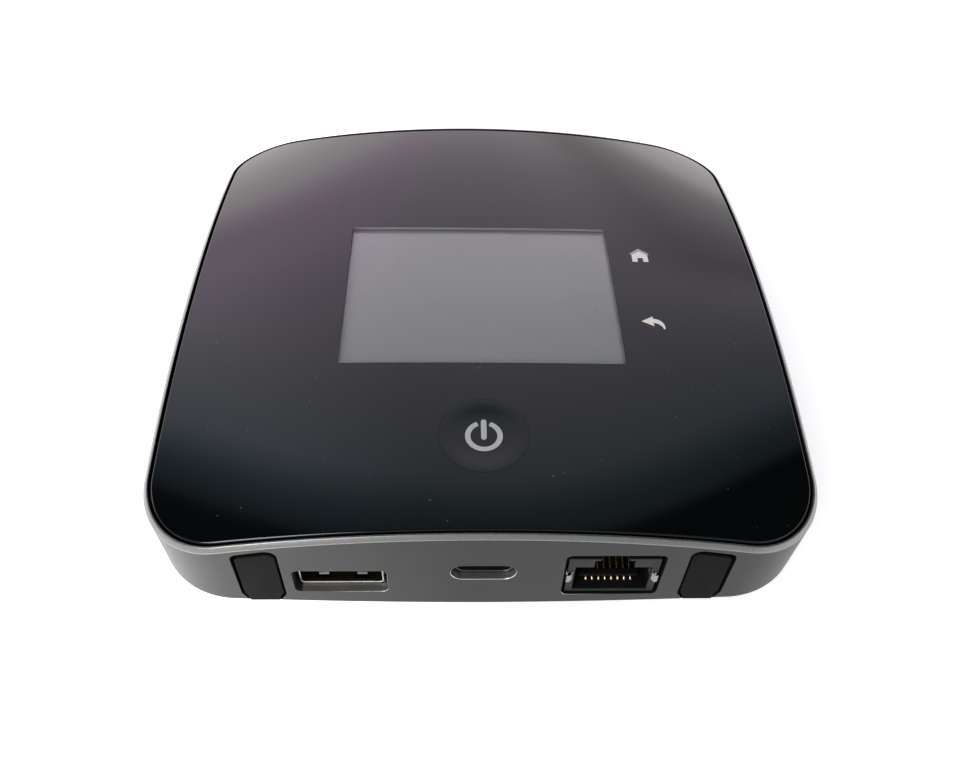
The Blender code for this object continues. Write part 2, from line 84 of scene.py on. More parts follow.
BAND_LOW, BAND_HIGH = node_box("frame_band")
HALF = BAND_HIGH.x            # half of the square's side
TOP = CAD_BOUNDS[1][2] / MM   # height of the middle of the dome
FOOT_DEPTH = BAND_LOW.z       # how far the feet stand below the body
CORNER = 13.3                 # corner radius, seen from above
EDGE_DROP = 0.86              # fall of the dome from its middle to the middle of a side
EDGE_ROUND = 0.18             # share of that fall that is an even curve
CORNER_DROP = 5.98            # extra fall towards the corners
BOTTOM_ROUND = 0.8            # rounding between the wall and the underside
CORNER_LIFT = 2.0             # rise of the underside's rim towards the corners
RIM_LIFT = 0.4                # share of that rise where the underside's rim starts to curve
WALL_LIFT = 1.2               # share of it at the foot of the wall
CORNER_TUCK = 0.64            # and how far it draws in there
BEVEL = 0.6                   # bright bevel on the band's upper edge
BEVEL_EDGE = 0.07             # softening of the bevel's two edges
BAND_WALL = 2.6
BAND_LAND = 0.8               # inner edge of the flat land behind the bevel
LEDGE_DROP = 2.5
PANEL_INSET = 1.22
PANEL_ROUND = 0.45            # rounding of the glossy panel's rim
PANEL_THICK = 1.2
ARC_STEPS = 30
SIDE_STEPS = 30
ROUND_STEPS = 7               # steps round the body's larger rounded edges

LENS_LOW, LENS_HIGH = node_box("display_lens")
WINDOW_HALF = (LENS_HIGH.x + 0.3, (LENS_HIGH.y - LENS_LOW.y) / 2 + 0.3)
WINDOW_Y = (LENS_HIGH.y + LENS_LOW.y) / 2
BUTTON_Y = node_middle("power_button").y
BUTTON_RADIUS = 7.2
BUTTON_STEPS = 96
DISH_DEPTH = 0.28
INK_RISE, INK_DEPTH = 0.012, 0.04  # height above the gloss and depth below it
SEAM = 0.05                   # hairline gap round the button and the lens

USB_A = node_middle("usb_a_shell")
USB_C = node_middle("usb_c_shell")
JACK = node_middle("ethernet_housing")
ANTENNA = node_middle("antenna_jack_right")
WALL_Y = -HALF
LIP = 0.16                    # rounding of the openings' outer edges
INTO_CASE = -49.0             # cutters end behind the band's wall
POCKET_BACK = -51.0
POCKET_HALF = 3.475           # half of a flap pocket's width
FLAP_BACK = -51.45
SIDES = ((-1, "left"), (1, "right"))


# ---- shapes

def crown(x, y):
    """Height of the domed top over a point."""
    u = (x / HALF) ** 2
    v = (y / HALF) ** 2
    even = EDGE_ROUND * EDGE_DROP
    return TOP - even * (u + v) - (EDGE_DROP - even) * (u * u + v * v) - CORNER_DROP * u * v


def dished(x, y):
    """Height of the power button's shallow dish."""
    reach = min(math.hypot(x, y - BUTTON_Y) / BUTTON_RADIUS, 1.0)
    return crown(x, y) - DISH_DEPTH * (1 + math.cos(math.pi * reach ** 1.7)) / 2


def arc(radius, start, sweep, steps, centre=(0.0, 0.0), squash=1.0):
    """Points along an arc with both its ends; squash is the height of an oval for a width of one."""
    angles = [start + sweep * i / steps for i in range(steps + 1)]
    return [(centre[0] + radius * math.cos(t), centre[1] + radius * squash * math.sin(t)) for t in angles]


def circle(radius, steps, centre=(0.0, 0.0), squash=1.0):
    return arc(radius, 0.0, 2 * math.pi, steps, centre, squash)[:-1]


def outline(inset):
    """Points of the rounded square, moved in from the band's outer face."""
    half = HALF - inset
    radius = max(CORNER - inset, 0.5)
    straight = half - radius
    points = []
    for side in range(4):
        turn = side * math.pi / 2
        cos_t, sin_t = math.cos(turn), math.sin(turn)
        local = arc(radius, 0.0, math.pi / 2, ARC_STEPS, (straight, straight))
        local += [(straight - 2 * straight * i / SIDE_STEPS, half) for i in range(1, SIDE_STEPS)]
        points += [(x * cos_t - y * sin_t, x * sin_t + y * cos_t) for x, y in local]
    return points


def band_level(inset, drop):
    """Loop at an inset, a fixed drop below the dome."""
    return [(x, y, crown(x, y) - drop) for x, y in outline(inset)]


def flat_level(inset, height, lift=0.0):
    """Loop at one height; a lifted one rises and draws in towards the corners."""
    loop = []
    for x, y in outline(inset):
        reach = max((x * x + y * y) / HALF ** 2 - 1.0, 0.0)
        tuck = 1.0 - (CORNER_TUCK * reach / math.hypot(x, y) if lift else 0.0)
        loop.append((x * tuck, y * tuck, height + lift * reach))
    return loop


def rounded_rectangle(width, height, radius, steps=8):
    """Outline of a rounded rectangle round the origin, as (a, b) pairs."""
    points = []
    for sign_a, sign_b, start in ((1, 1, 0), (-1, 1, 90), (-1, -1, 180), (1, -1, 270)):
        middle = (sign_a * (width / 2 - radius), sign_b * (height / 2 - radius))
        points += arc(radius, math.radians(start), math.pi / 2, steps, middle)
    return points


def headings(path):
    """Direction of travel at each point of a flat path."""
    last = len(path) - 1
    return [(Vector(path[min(i + 1, last)]) - Vector(path[max(i - 1, 0)])).normalized()
            for i in range(last + 1)]


def softened(points, radius, steps=4):
    """Polygon with each corner replaced by a short curve."""
    soft = []
    count = len(points)
    for i, corner in enumerate(points):
        corner = Vector(corner)
        before = Vector(points[i - 1]) - corner
        after = Vector(points[(i + 1) % count]) - corner
        reach = min(radius, before.length * 0.45, after.length * 0.45)
        start = corner + before.normalized() * reach
        end = corner + after.normalized() * reach
        for k in range(steps + 1):
            t = k / steps
            soft.append(tuple(start * (1 - t) ** 2 + corner * 2 * t * (1 - t) + end * t * t))
    return soft


def offset(points, distance):
    """Polygon moved outwards by a distance, or inwards by a negative one."""
    count = len(points)
    area = sum(points[i - 1][0] * points[i][1] - points[i][0] * points[i - 1][1] for i in range(count))
    side = 1.0 if area > 0 else -1.0
    moved = []
    for i in range(count):
        here = Vector(points[i])
        into = (here - Vector(points[i - 1])).normalized()
        out = (Vector(points[(i + 1) % count]) - here).normalized()
        normal_in = Vector((into.y, -into.x)) * side
        normal_out = Vector((out.y, -out.x)) * side
        mitre = (normal_in + normal_out).normalized()
        stretch = max(mitre.dot(normal_in), 0.5)
        moved.append(tuple(here + mitre * (distance / stretch)))
    return moved


def mesh_object(name, bm, smooth=30.0):
    """Turn a bmesh in millimetres into a named object in metres."""
    bmesh.ops.recalc_face_normals(bm, faces=bm.faces)
    bmesh.ops.scale(bm, vec=(MM, MM, MM), verts=bm.verts)
    mesh = bpy.data.meshes.new(name)
    bm.to_mesh(mesh)
    bm.free()
    obj = bpy.data.objects.new(name, mesh)
    bpy.context.scene.collection.objects.link(obj)
    smooth_shade(obj, smooth)
    return obj


def smooth_shade(obj, angle=30.0):
    obj.data.shade_smooth()
    obj.data.set_sharp_from_angle(angle=math.radians(angle))


def bridge(bm, lower, upper):
    count = len(lower)
    for i in range(count):
        j = (i + 1) % count
        bm.faces.new((lower[i], lower[j], upper[j], upper[i]))


def loft(name, loops, tube=False, smooth=30.0):
    """Closed solid through 3-D loops; a tube joins its last loop to its first instead of capping."""
    bm = bmesh.new()
    rings = [[bm.verts.new(p) for p in loop] for loop in loops]
    for lower, upper in zip(rings, rings[1:]):
        bridge(bm, lower, upper)
    if tube:
        bridge(bm, rings[-1], rings[0])
    else:
        bm.faces.new(rings[0])
        bm.faces.new(rings[-1])
    return mesh_object(name, bm, smooth)


def front_loop(points, y, x=0.0, z=0.0):
    return [(x + a, y, z + b) for a, b in points]


def front_prism(name, points, y0, y1, x=0.0, z=0.0):
    """Prism along Y whose outline lies in the XZ plane."""
    return loft(name, [front_loop(points, y, x, z) for y in (y0, y1)])


def quarter(radius, steps=4):
    """(depth, offset) pairs of a quarter-round edge, from the face inwards."""
    angles = [i / steps * math.pi / 2 for i in range(steps + 1)]
    return [(radius * (1 - math.cos(a)), radius * (1 - math.sin(a))) for a in angles]


def eased_prism(name, points, front, back, radius, x=0.0, z=0.0, both=False):
    """Prism along Y with a rounded front edge, and a rounded back edge when both is set."""
    loops = [front_loop(offset(points, -out), front + depth, x, z) for depth, out in quarter(radius)]
    if both:
        rear = [front_loop(offset(points, -out), back - depth, x, z) for depth, out in quarter(radius)]
        loops += rear[::-1]
    else:
        loops.append(front_loop(points, back, x, z))
    return loft(name, loops)


def lip_cutter(points, front, back, radius, x=0.0, z=0.0):
    """Cutter along Y that leaves a rounded lip where it enters the face at front."""
    loops = [front_loop(offset(points, radius), front - 1.0, x, z)]
    loops += [front_loop(offset(points, out), front + depth, x, z)
              for out, depth in quarter(radius)[::-1]]
    loops.append(front_loop(points, back, x, z))
    return loft("cutter", loops)


def upright(name, points, low, high):
    return loft(name, [[(x, y, z) for x, y in points] for z in (low, high)])


def block(name, x0, x1, y0, y1, z0, z1):
    return upright(name, [(x0, y0), (x1, y0), (x1, y1), (x0, y1)], z0, z1)


def eased_block(name, x0, x1, y0, y1, z0, z1, radius, corner=0.0):
    """Upright block with rounded top and bottom edges and, if asked, rounded upright corners."""
    width, depth = x1 - x0, y1 - y0
    middle = ((x0 + x1) / 2, (y0 + y1) / 2)
    flat = rounded_rectangle(width, depth, max(corner, radius))
    loops = []
    for height, sign in ((z0, 1), (z1, -1)):
        part = [[(middle[0] + a, middle[1] + b, height + sign * d) for a, b in offset(flat, -o)]
                for d, o in quarter(radius)]
        loops += part if sign > 0 else part[::-1]
    return loft(name, loops)


def turned(name, profile, centre, axis="Z", steps=64):
    """Solid of revolution; profile pairs are (radius, height) and start and end on the axis."""
    bm = bmesh.new()
    cx, cy, cz = centre

    def place(radius, height, angle):
        a, b = radius * math.cos(angle), radius * math.sin(angle)
        return (cx + a, cy + b, cz + height) if axis == "Z" else (cx + a, cy + height, cz + b)

    rings = []
    for radius, height in profile:
        count = steps if radius else 1
        rings.append([bm.verts.new(place(radius, height, 2 * math.pi * i / steps)) for i in range(count)])
    for lower, upper in zip(rings, rings[1:]):
        if len(lower) == 1 or len(upper) == 1:
            tip, loop = (lower[0], upper) if len(lower) == 1 else (upper[0], lower)
            for i in range(steps):
                bm.faces.new((tip, loop[i], loop[(i + 1) % steps]))
        else:
            bridge(bm, lower, upper)
    return mesh_object(name, bm, smooth=35.0)


def boolean(target, tool, operation):
    """Apply one Boolean to the target and drop the tool."""
    modifier = target.modifiers.new(operation.lower(), "BOOLEAN")
    modifier.operation = operation
    modifier.solver = "EXACT"
    modifier.object = tool
    depsgraph = bpy.context.evaluated_depsgraph_get()
    mesh = bpy.data.meshes.new_from_object(target.evaluated_get(depsgraph))
    target.modifiers.clear()
    old = target.data
    mesh.name = old.name
    target.data = mesh
    bpy.data.meshes.remove(old)
    bpy.data.objects.remove(tool)


def cut(target, *tools):
    for tool in tools:
        boolean(target, tool, "DIFFERENCE")


def join(target, *tools):
    for tool in tools:
        boolean(target, tool, "UNION")


def soften_edges(obj, width):
    """Small rounded edges, kept as a modifier."""
    bevel = obj.modifiers.new("soft_edges", "BEVEL")
    bevel.width = width * MM
    bevel.segments = 2
    bevel.limit_method = "ANGLE"
    bevel.angle_limit = math.radians(35.0)
    bevel.harden_normals = True


def dome_normals(obj, surface=crown):
    """Give the faces that lie on the dome its own exact normals, so that reflections stay even."""
    mesh = obj.data
    normals = [Vector(n.vector) for n in mesh.corner_normals]
    step, tolerance = 0.01, 0.03
    for polygon in mesh.polygons:
        if polygon.normal.z < 0.9:
            continue
        spots = [mesh.vertices[v].co / MM for v in polygon.vertices]
        if any(abs(p.z - surface(p.x, p.y)) > tolerance for p in spots):
            continue
        for loop, p in zip(polygon.loop_indices, spots):
            slope_x = (surface(p.x + step, p.y) - surface(p.x - step, p.y)) / (2 * step)
            slope_y = (surface(p.x, p.y + step) - surface(p.x, p.y - step)) / (2 * step)
            normals[loop] = Vector((-slope_x, -slope_y, 1.0)).normalized()
    mesh.normals_split_custom_set([tuple(n) for n in normals])


# ---- materials

def map_range(tree, value, start, end, low=0.0, high=1.0, smooth=False):
    """Map a value from one range to another, held at the ends."""
    node = tree.nodes.new("ShaderNodeMapRange")
    if smooth:
        node.interpolation_type = "SMOOTHSTEP"
    for name, number in (("From Min", start), ("From Max", end), ("To Min", low), ("To Max", high)):
        node.inputs[name].default_value = number
    tree.links.new(value, node.inputs["Value"])
    return node.outputs["Result"]


def math_node(tree, operation, first, second):
    """Combine two values, of which either may be a plain number."""
    node = tree.nodes.new("ShaderNodeMath")
    node.operation = operation
    for socket, value in zip(node.inputs, (first, second)):
        if isinstance(value, (int, float)):
            socket.default_value = value
        else:
            tree.links.new(value, socket)
    return node.outputs["Value"]


def axes(tree, place):
    """The X, Y and Z of a direction or a place."""
    node = tree.nodes.new("ShaderNodeSeparateXYZ")
    tree.links.new(place, node.inputs["Vector"])
    return [node.outputs[axis] for axis in "XYZ"]


class Finish:
    """A Principled material with helpers for its procedural detail.

    The values of a noise lie mostly between NOISE_LOW and NOISE_HIGH.
    """

    NOISE_LOW, NOISE_HIGH = 0.3, 0.7

    def __init__(self, name, colour, roughness, metallic=0.0, ior=1.5):
        self.material = bpy.data.materials.new(name)
        self.material.use_nodes = True
        self.tree = self.material.node_tree
        self.nodes, self.links = self.tree.nodes, self.tree.links
        self.shader = self.nodes["Principled BSDF"]
        self.colour = colour
        self.set("Base Color", (*colour, 1.0))
        self.set("Roughness", roughness)
        self.set("Metallic", metallic)
        self.set("IOR", ior)
        self.place = self.nodes.new("ShaderNodeTexCoord").outputs["Object"]

    def set(self, socket, value):
        self.shader.inputs[socket].default_value = value

    def noise(self, size, detail=3.0, stretch=(1.0, 1.0, 1.0)):
        """Noise whose features are about the given size in millimetres."""
        mapping = self.nodes.new("ShaderNodeMapping")
        mapping.inputs["Scale"].default_value = tuple(1.0 / s for s in stretch)
        self.links.new(self.place, mapping.inputs["Vector"])
        texture = self.nodes.new("ShaderNodeTexNoise")
        texture.inputs["Scale"].default_value = 1.0 / (size * MM)
        texture.inputs["Detail"].default_value = detail
        texture.inputs["Roughness"].default_value = 0.55
        self.links.new(mapping.outputs["Vector"], texture.inputs["Vector"])
        return texture.outputs["Fac"]

    def vary_colour(self, value, other, from_low=NOISE_LOW, from_high=NOISE_HIGH):
        """Blend the base colour towards another where the value is high."""
        mix = self.nodes.new("ShaderNodeMix")
        mix.data_type = "RGBA"
        ends = [s for s in mix.inputs if s.name in ("A", "B") and s.type == "RGBA"]
        for socket, colour in zip(ends, (self.colour, other)):
            socket.default_value = (*colour, 1.0)
        self.links.new(map_range(self.tree, value, from_low, from_high), mix.inputs["Factor"])
        result = [s for s in mix.outputs if s.type == "RGBA"][0]
        self.links.new(result, self.shader.inputs["Base Color"])

    def vary_roughness(self, value, low, high):
        """Let the roughness follow a noise."""
        result = map_range(self.tree, value, self.NOISE_LOW, self.NOISE_HIGH, low, high)
        self.links.new(result, self.shader.inputs["Roughness"])

    def bump(self, value, height, strength):
        """Surface relief, whose height is in millimetres; gives the material, as the last step."""
        node = self.nodes.new("ShaderNodeBump")
        node.inputs["Strength"].default_value = strength
        node.inputs["Distance"].default_value = height * MM
        self.links.new(value, node.inputs["Height"])
        self.links.new(node.outputs["Normal"], self.shader.inputs["Normal"])
        return self.material


def satin_metal():
    """Dark anodised band with a fine blasted grain."""
    finish = Finish("band_anodised", (0.041, 0.041, 0.0415), 0.42, metallic=0.7)
    grain = finish.noise(0.12, 2.0)
    finish.vary_colour(finish.noise(9.0, 3.0), (0.047, 0.047, 0.0475))
    finish.vary_roughness(grain, 0.38, 0.46)
    return finish.bump(grain, 0.002, 0.5)


def bevel_metal():
    """Bright machined bevel with fine cutter lines."""
    finish = Finish("band_bevel", (0.27, 0.274, 0.262), 0.34, metallic=1.0)
    lines = finish.noise(0.5, 2.0, stretch=(1.0, 1.0, 0.25))
    finish.vary_colour(lines, (0.32, 0.324, 0.31))
    finish.vary_roughness(lines, 0.32, 0.38)
    return finish.bump(lines, 0.001, 0.4)


def gloss_black():
    """Polished black with faint haze and a few specks of dust."""
    finish = Finish("gloss_black", (0.0016, 0.0019, 0.0021), 0.05)
    dust = finish.noise(0.9, 1.0)
    finish.vary_colour(dust, (0.05, 0.05, 0.052), 0.78, 0.8)
    finish.vary_roughness(finish.noise(14.0, 4.0), 0.035, 0.075)
    return finish.bump(finish.noise(22.0, 1.0), 0.004, 0.25)


def clear_glass():
    """Polished lens; shadow rays pass straight through it."""
    finish = Finish("lens_glass", (1.0, 1.0, 1.0), 0.0, ior=1.36)
    finish.set("Transmission Weight", 1.0)
    finish.vary_roughness(finish.noise(14.0, 4.0), 0.0, 0.004)
    path = finish.nodes.new("ShaderNodeLightPath")
    clear = finish.nodes.new("ShaderNodeBsdfTransparent")
    mix = finish.nodes.new("ShaderNodeMixShader")
    output = finish.nodes["Material Output"]
    finish.links.new(path.outputs["Is Shadow Ray"], mix.inputs["Fac"])
    finish.links.new(finish.shader.outputs["BSDF"], mix.inputs[1])
    finish.links.new(clear.outputs["BSDF"], mix.inputs[2])
    finish.links.new(mix.outputs["Shader"], output.inputs["Surface"])
    return finish.material


def plain_finish(name, colour, other, roughness, grain, height, metallic=0.0, specular=0.5):
    """Mottled colour, uneven roughness and a grain of the given size."""
    finish = Finish(name, colour, roughness, metallic)
    finish.set("Specular IOR Level", specular)
    texture = finish.noise(grain, 3.0)
    finish.vary_colour(finish.noise(grain * 12, 3.0), other)
    finish.vary_roughness(texture, roughness * 0.85, min(roughness * 1.15, 1.0))
    return finish.bump(texture, height, 0.7)


def display_face():
    """Unlit grey display: smooth, darker along its far and right edges with painted shade from the window's
    edges.
    """
    finish = Finish("display_face", (0.086, 0.096, 0.083), 0.4)
    x, y, _ = axes(finish.tree, finish.place)
    far_edge, right_edge = WINDOW_Y + WINDOW_HALF[1], WINDOW_HALF[0]
    # painted shade: masks for the darker strips along the display's far and right edges
    far = map_range(finish.tree, y, (far_edge - 1.1) * MM, (far_edge - 0.7) * MM)
    right = map_range(finish.tree, x, (right_edge - 0.6) * MM, (right_edge - 0.2) * MM)
    finish.vary_colour(math_node(finish.tree, "MAXIMUM", far, right), (0.079, 0.086, 0.079), 0.0, 1.0)
    finish.vary_roughness(finish.noise(5.0, 2.0), 0.36, 0.42)
    return finish.material


# Finish: material name, colour, second colour, roughness, grain and relief in mm, metallic, specular.
PLAIN_FINISHES = {
    "lens_edge": ("lens_edge", (0.11, 0.11, 0.115), (0.13, 0.13, 0.135), 0.6, 0.2, 0.002),
    "rubber": ("black_rubber", (0.0055, 0.0055, 0.0057), (0.0075, 0.0075, 0.0077), 0.68, 0.1, 0.002,
               0.0, 0.08),
    "steel": ("plated_steel", (0.62, 0.61, 0.58), (0.68, 0.67, 0.64), 0.3, 0.5, 0.0004, 1.0),
    # painted shade: a darker copy of the plated steel for the USB-C shell, which sits in the shade of its
    # opening
    "steel_painted_shade": ("steel_with_painted_shade", (0.16, 0.16, 0.155), (0.19, 0.19, 0.185), 0.3, 0.5, 0.0004, 1.0),
    "film": ("amber_film", (0.42, 0.2, 0.045), (0.5, 0.25, 0.06), 0.35, 0.5, 0.003),
    "laminate": ("green_board", (0.015, 0.1, 0.045), (0.02, 0.13, 0.06), 0.4, 0.4, 0.006),
    "milky": ("milky_plastic", (0.82, 0.83, 0.85), (0.88, 0.88, 0.9), 0.35, 0.3, 0.002),
    "port": ("port_plastic", (0.005, 0.005, 0.0055), (0.007, 0.007, 0.0075), 0.5, 0.2, 0.001, 0.0, 0.15),
    "port_face": ("port_face", (0.012, 0.012, 0.013), (0.015, 0.015, 0.016), 0.5, 0.2, 0.001, 0.0, 0.25),
    # painted light: a lighter copy of the band's metal for the inner walls of the USB openings
    "recess": ("recess_painted_light", (0.36, 0.362, 0.365), (0.42, 0.42, 0.425), 0.42, 0.3, 0.001, 1.0),
    "spring": ("spring_steel", (0.34, 0.33, 0.31), (0.4, 0.39, 0.37), 0.32, 0.5, 0.0004, 1.0),
    # painted shade: a dark brown copy of the steel for the inside of the USB-A shell
    "inside_painted_shade": ("steel_inside_painted_shade", (0.05, 0.042, 0.03), (0.08, 0.066, 0.045), 0.4, 0.5, 0.0004, 1.0),
    "gold": ("gold_plate", (0.83, 0.62, 0.3), (0.9, 0.7, 0.38), 0.25, 0.2, 0.001, 1.0),
    "cover": ("textured_cover", (0.028, 0.028, 0.03), (0.035, 0.035, 0.037), 0.58, 0.22, 0.012),
    "chassis": ("chassis_plastic", (0.022, 0.022, 0.025), (0.03, 0.03, 0.033), 0.55, 0.3, 0.006),
    "battery": ("battery_case", (0.035, 0.036, 0.04), (0.045, 0.046, 0.05), 0.45, 0.25, 0.004),
    "copper": ("copper_sheet", (0.7, 0.4, 0.28), (0.78, 0.46, 0.33), 0.35, 0.4, 0.003, 1.0),
    "ink_white": ("white_ink", (0.78, 0.76, 0.72), (0.83, 0.81, 0.77), 0.5, 0.1, 0.001),
    "ink_grey": ("grey_ink", (0.42, 0.43, 0.44), (0.46, 0.47, 0.48), 0.5, 0.1, 0.001),
}
FINISHES = {name: plain_finish(*row) for name, row in PLAIN_FINISHES.items()}
FINISHES.update(band=satin_metal(), bevel=bevel_metal(), gloss=gloss_black(), glass=clear_glass(),
                display=display_face())

SLOT_FINISH = {
    "band_metal": "band", "panel_gloss": "gloss", "lens_clear": "glass", "display_grey": "display",
    "seal_rubber": "rubber", "steel": "steel", "flex_film": "film", "board_laminate": "laminate",
    "light_plastic": "milky", "port_plastic": "port", "contact_gold": "gold", "cover_plastic": "cover",
    "chassis_plastic": "chassis", "battery_wrap": "battery", "spreader_copper": "copper",
}
NODE_SLOT = {part["node"]: part["material_slot"] for part in frame["record"]["subparts"]}


def dress(obj, *finishes):
    """Give an object its finishes, in slot order."""
    obj.data.materials.clear()
    for finish in finishes:
        obj.data.materials.append(FINISHES[finish])


def stand_for(obj, body, slot, *nodes):
    """Attach a finished piece to its body, and let it stand for the CAD nodes that it details."""
    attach(obj, body)
    if nodes:
        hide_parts(*nodes)


def finished(obj, finish, body, slot, *nodes):
    """Dress a piece in one finish and attach it."""
    dress(obj, finish)
    stand_for(obj, body, slot, *nodes)


# ---- band and top

def flap_recess(side):
    """Outline of the pocket that an antenna flap closes; it slopes with the band's upper edge."""
    inner, outer = ANTENNA.x - POCKET_HALF, ANTENNA.x + POCKET_HALF
    points = [(inner + 0.9, 0.8), (outer - 0.7, 0.8), (outer - 0.7, 2.1), (outer, 3.6), (outer, 14.2),
              (outer - 0.3, 14.9), (outer - 1.0, 15.3), (inner + 1.5, 16.25), (inner + 0.5, 15.9),
              (inner, 15.0), (inner, 3.3), (inner + 0.9, 2.0)]
    return [(side * x, z) for x, z in softened(points, 0.5)]


def wall_normals(band):
    """Give the outer wall its exact normals, so that the openings leave no mark on it."""
    mesh = band.data
    normals = [Vector(n.vector) for n in mesh.corner_normals]
    straight = HALF - CORNER
    foot = FOOT_DEPTH + BOTTOM_ROUND
    skin = 0.75

    def from_core(spot):
        """Way to a point from the square on which the rounded corners turn."""
        return Vector((max(abs(spot.x) - straight, 0.0), max(abs(spot.y) - straight, 0.0)))

    def wall_normal(spot):
        """Direction out of the wall, which leans in a little below towards the corners."""
        away = from_core(spot).normalized()
        reach = max(spot.xy.length_squared / HALF ** 2 - 1.0, 0.0)
        tall = crown(spot.x, spot.y) - BEVEL - foot - WALL_LIFT * CORNER_LIFT * reach
        lean = CORNER_TUCK * reach / tall
        return Vector((math.copysign(away.x, spot.x), math.copysign(away.y, spot.y), -lean)).normalized()

    for polygon in mesh.polygons:
        middle = polygon.center / MM
        if middle.z < foot or max(abs(middle.x), abs(middle.y)) < straight or abs(polygon.normal.z) > 0.1:
            continue
        spots = [mesh.vertices[v].co / MM for v in polygon.vertices]
        exact = [wall_normal(p) for p in spots]
        depth = max(CORNER - from_core(p).length for p in spots)
        if depth < skin and min(n.dot(polygon.normal) for n in exact) > 0.97:
            for loop, normal in zip(polygon.loop_indices, exact):
                normals[loop] = normal
    mesh.normals_split_custom_set([tuple(n) for n in normals])


def in_flap_pocket(spot, normal):
    """Whether a face lies on the walls or the back of a flap's pocket."""
    outer_skin = normal.y < -0.1 and spot.y < POCKET_BACK - 0.3
    beside = abs(abs(spot.x) - ANTENNA.x) < POCKET_HALF + 0.125
    within = WALL_Y + 0.25 < spot.y < POCKET_BACK + 0.1 and 0.4 < spot.z < 16.4
    return beside and within and not outer_skin


def band_finish(spot, normal):
    """Which of the band's five finishes a face takes, from its middle and its direction."""
    wall, bevel, port, recess, steel = range(5)
    drop = crown(spot.x, spot.y) - spot.z
    outward = spot.xy.dot(normal.xy) > 0
    if -0.05 < drop < BEVEL + BEVEL_EDGE and 0.12 < normal.z and (outward or normal.z > 0.9):
        return bevel
    # painted shade: the walls and back of a flap's pocket take the black port plastic, darker than the band's
    # metal, for the shade in the gap round the flap
    if in_flap_pocket(spot, normal):
        return port
    sockets_half, sockets_low, sockets_high = 28.0, 2.5, 17.0
    near = abs(spot.x) < sockets_half and sockets_low < spot.z < sockets_high
    if not near or spot.y >= WALL_Y + BAND_WALL or abs(normal.y) >= 0.98:
        return wall
    on_lip = spot.y < WALL_Y + LIP and normal.y < -0.2
    if abs(spot.x - JACK.x) < 9.0:
        return steel if on_lip and normal.z > 0.2 else port
    # painted light: the USB openings' inner walls take the lighter recess metal, for light entering from the
    # front
    return steel if on_lip else recess


def make_band():
    """Metal band: a tube of loops with the sockets' openings and the flaps' pockets cut in it."""
    loops = [flat_level(BAND_WALL, FOOT_DEPTH)]
    for i, (rise, inset) in enumerate(quarter(BOTTOM_ROUND, ROUND_STEPS)):
        share = RIM_LIFT + (WALL_LIFT - RIM_LIFT) * i / ROUND_STEPS
        loops.append(flat_level(inset, FOOT_DEPTH + rise, CORNER_LIFT * share))
    edge = BEVEL_EDGE
    loops += [
        band_level(0.0, BEVEL + edge),
        band_level(edge * 0.3, BEVEL + edge * 0.3),
        band_level(edge, BEVEL - edge),
        band_level(BEVEL - edge, edge),
        band_level(BEVEL - edge * 0.3, edge * 0.3),
        band_level(BEVEL + edge * 0.5, 0.0),
        band_level(BAND_LAND, 0.0),
        band_level(BAND_LAND + 0.05, 0.05),
        band_level(BAND_LAND + 0.05, LEDGE_DROP),
        band_level(BAND_WALL, LEDGE_DROP),
    ]
    band = loft("band_shell", loops, tube=True)
    openings = [
        (rounded_rectangle(14.4, 6.2, 1.0), USB_A.x, USB_A.z),
        (rounded_rectangle(9.9, 3.85, 1.92, 14), USB_C.x - 0.14, USB_C.z),
        (rounded_rectangle(15.1, 11.6, 1.0), JACK.x, JACK.z),
    ]
    for shape, x, z in openings:
        cut(band, lip_cutter(shape, WALL_Y, INTO_CASE, LIP, x, z))
    for side in (-1, 1):
        cut(band, lip_cutter(flap_recess(side), WALL_Y, POCKET_BACK, LIP))
        cut(band, front_prism("cutter", circle(2.7, 48), WALL_Y - 1.0, INTO_CASE,
                              side * ANTENNA.x, ANTENNA.z))
    smooth_shade(band, 28.0)
    dress(band, "band", "bevel", "port", "recess", "steel")
    for face in band.data.polygons:
        face.material_index = band_finish(face.center / MM, face.normal)
    wall_normals(band)
    stand_for(band, "housing", "band_metal", "frame_band")


def dome_loops(scales, inset, drop):
    base = outline(inset)
    return [[(x * s, y * s, crown(x * s, y * s) - drop) for x, y in base] for s in scales]


def make_top_panel():
    """Glossy domed panel with a rounded rim, cut out for the lens and the power button."""
    rim = PANEL_INSET + PANEL_ROUND
    count = 44
    scales = [1.0 - i / count for i in range(1, count)]
    under = dome_loops(scales[::-1][::4], rim, PANEL_THICK)
    loops = under + [band_level(PANEL_INSET, PANEL_THICK)]
    loops += [band_level(PANEL_INSET + into, drop) for into, drop in quarter(PANEL_ROUND, ROUND_STEPS)]
    loops += dome_loops(scales, rim, 0.0)
    panel = loft("gloss_panel", loops)
    low, high = TOP - 5.0, TOP + 5.0
    window = rounded_rectangle(2 * WINDOW_HALF[0], 2 * WINDOW_HALF[1], 0.25, 3)
    cut(panel, upright("cutter", [(x, y + WINDOW_Y) for x, y in window], low, high))
    cut(panel, upright("cutter", circle(BUTTON_RADIUS, BUTTON_STEPS, (0.0, BUTTON_Y)), low, high))
    smooth_shade(panel, 28.0)
    dome_normals(panel)
    finished(panel, "gloss", "housing", "panel_gloss", "top_panel")


def dome_patch(name, half_x, half_y, drop, thick, columns=40, rows=30):
    """Rectangular piece of the dome with an even thickness; its side faces come last."""
    bm = bmesh.new()
    layers = []
    for depth in (drop + thick, drop):
        grid = []
        for j in range(rows + 1):
            y = WINDOW_Y - half_y + 2 * half_y * j / rows
            xs = [-half_x + 2 * half_x * i / columns for i in range(columns + 1)]
            grid.append([bm.verts.new((x, y, crown(x, y) - depth)) for x in xs])
        layers.append(grid)
        for j in range(rows):
            for i in range(columns):
                bm.faces.new((grid[j][i], grid[j][i + 1], grid[j + 1][i + 1], grid[j + 1][i]))

    def border(grid):
        loop = grid[0][:] + [row[-1] for row in grid[1:]]
        return loop + grid[-1][-2::-1] + [row[0] for row in grid[-2:0:-1]]

    bridge(bm, border(layers[0]), border(layers[1]))
    return mesh_object(name, bm)


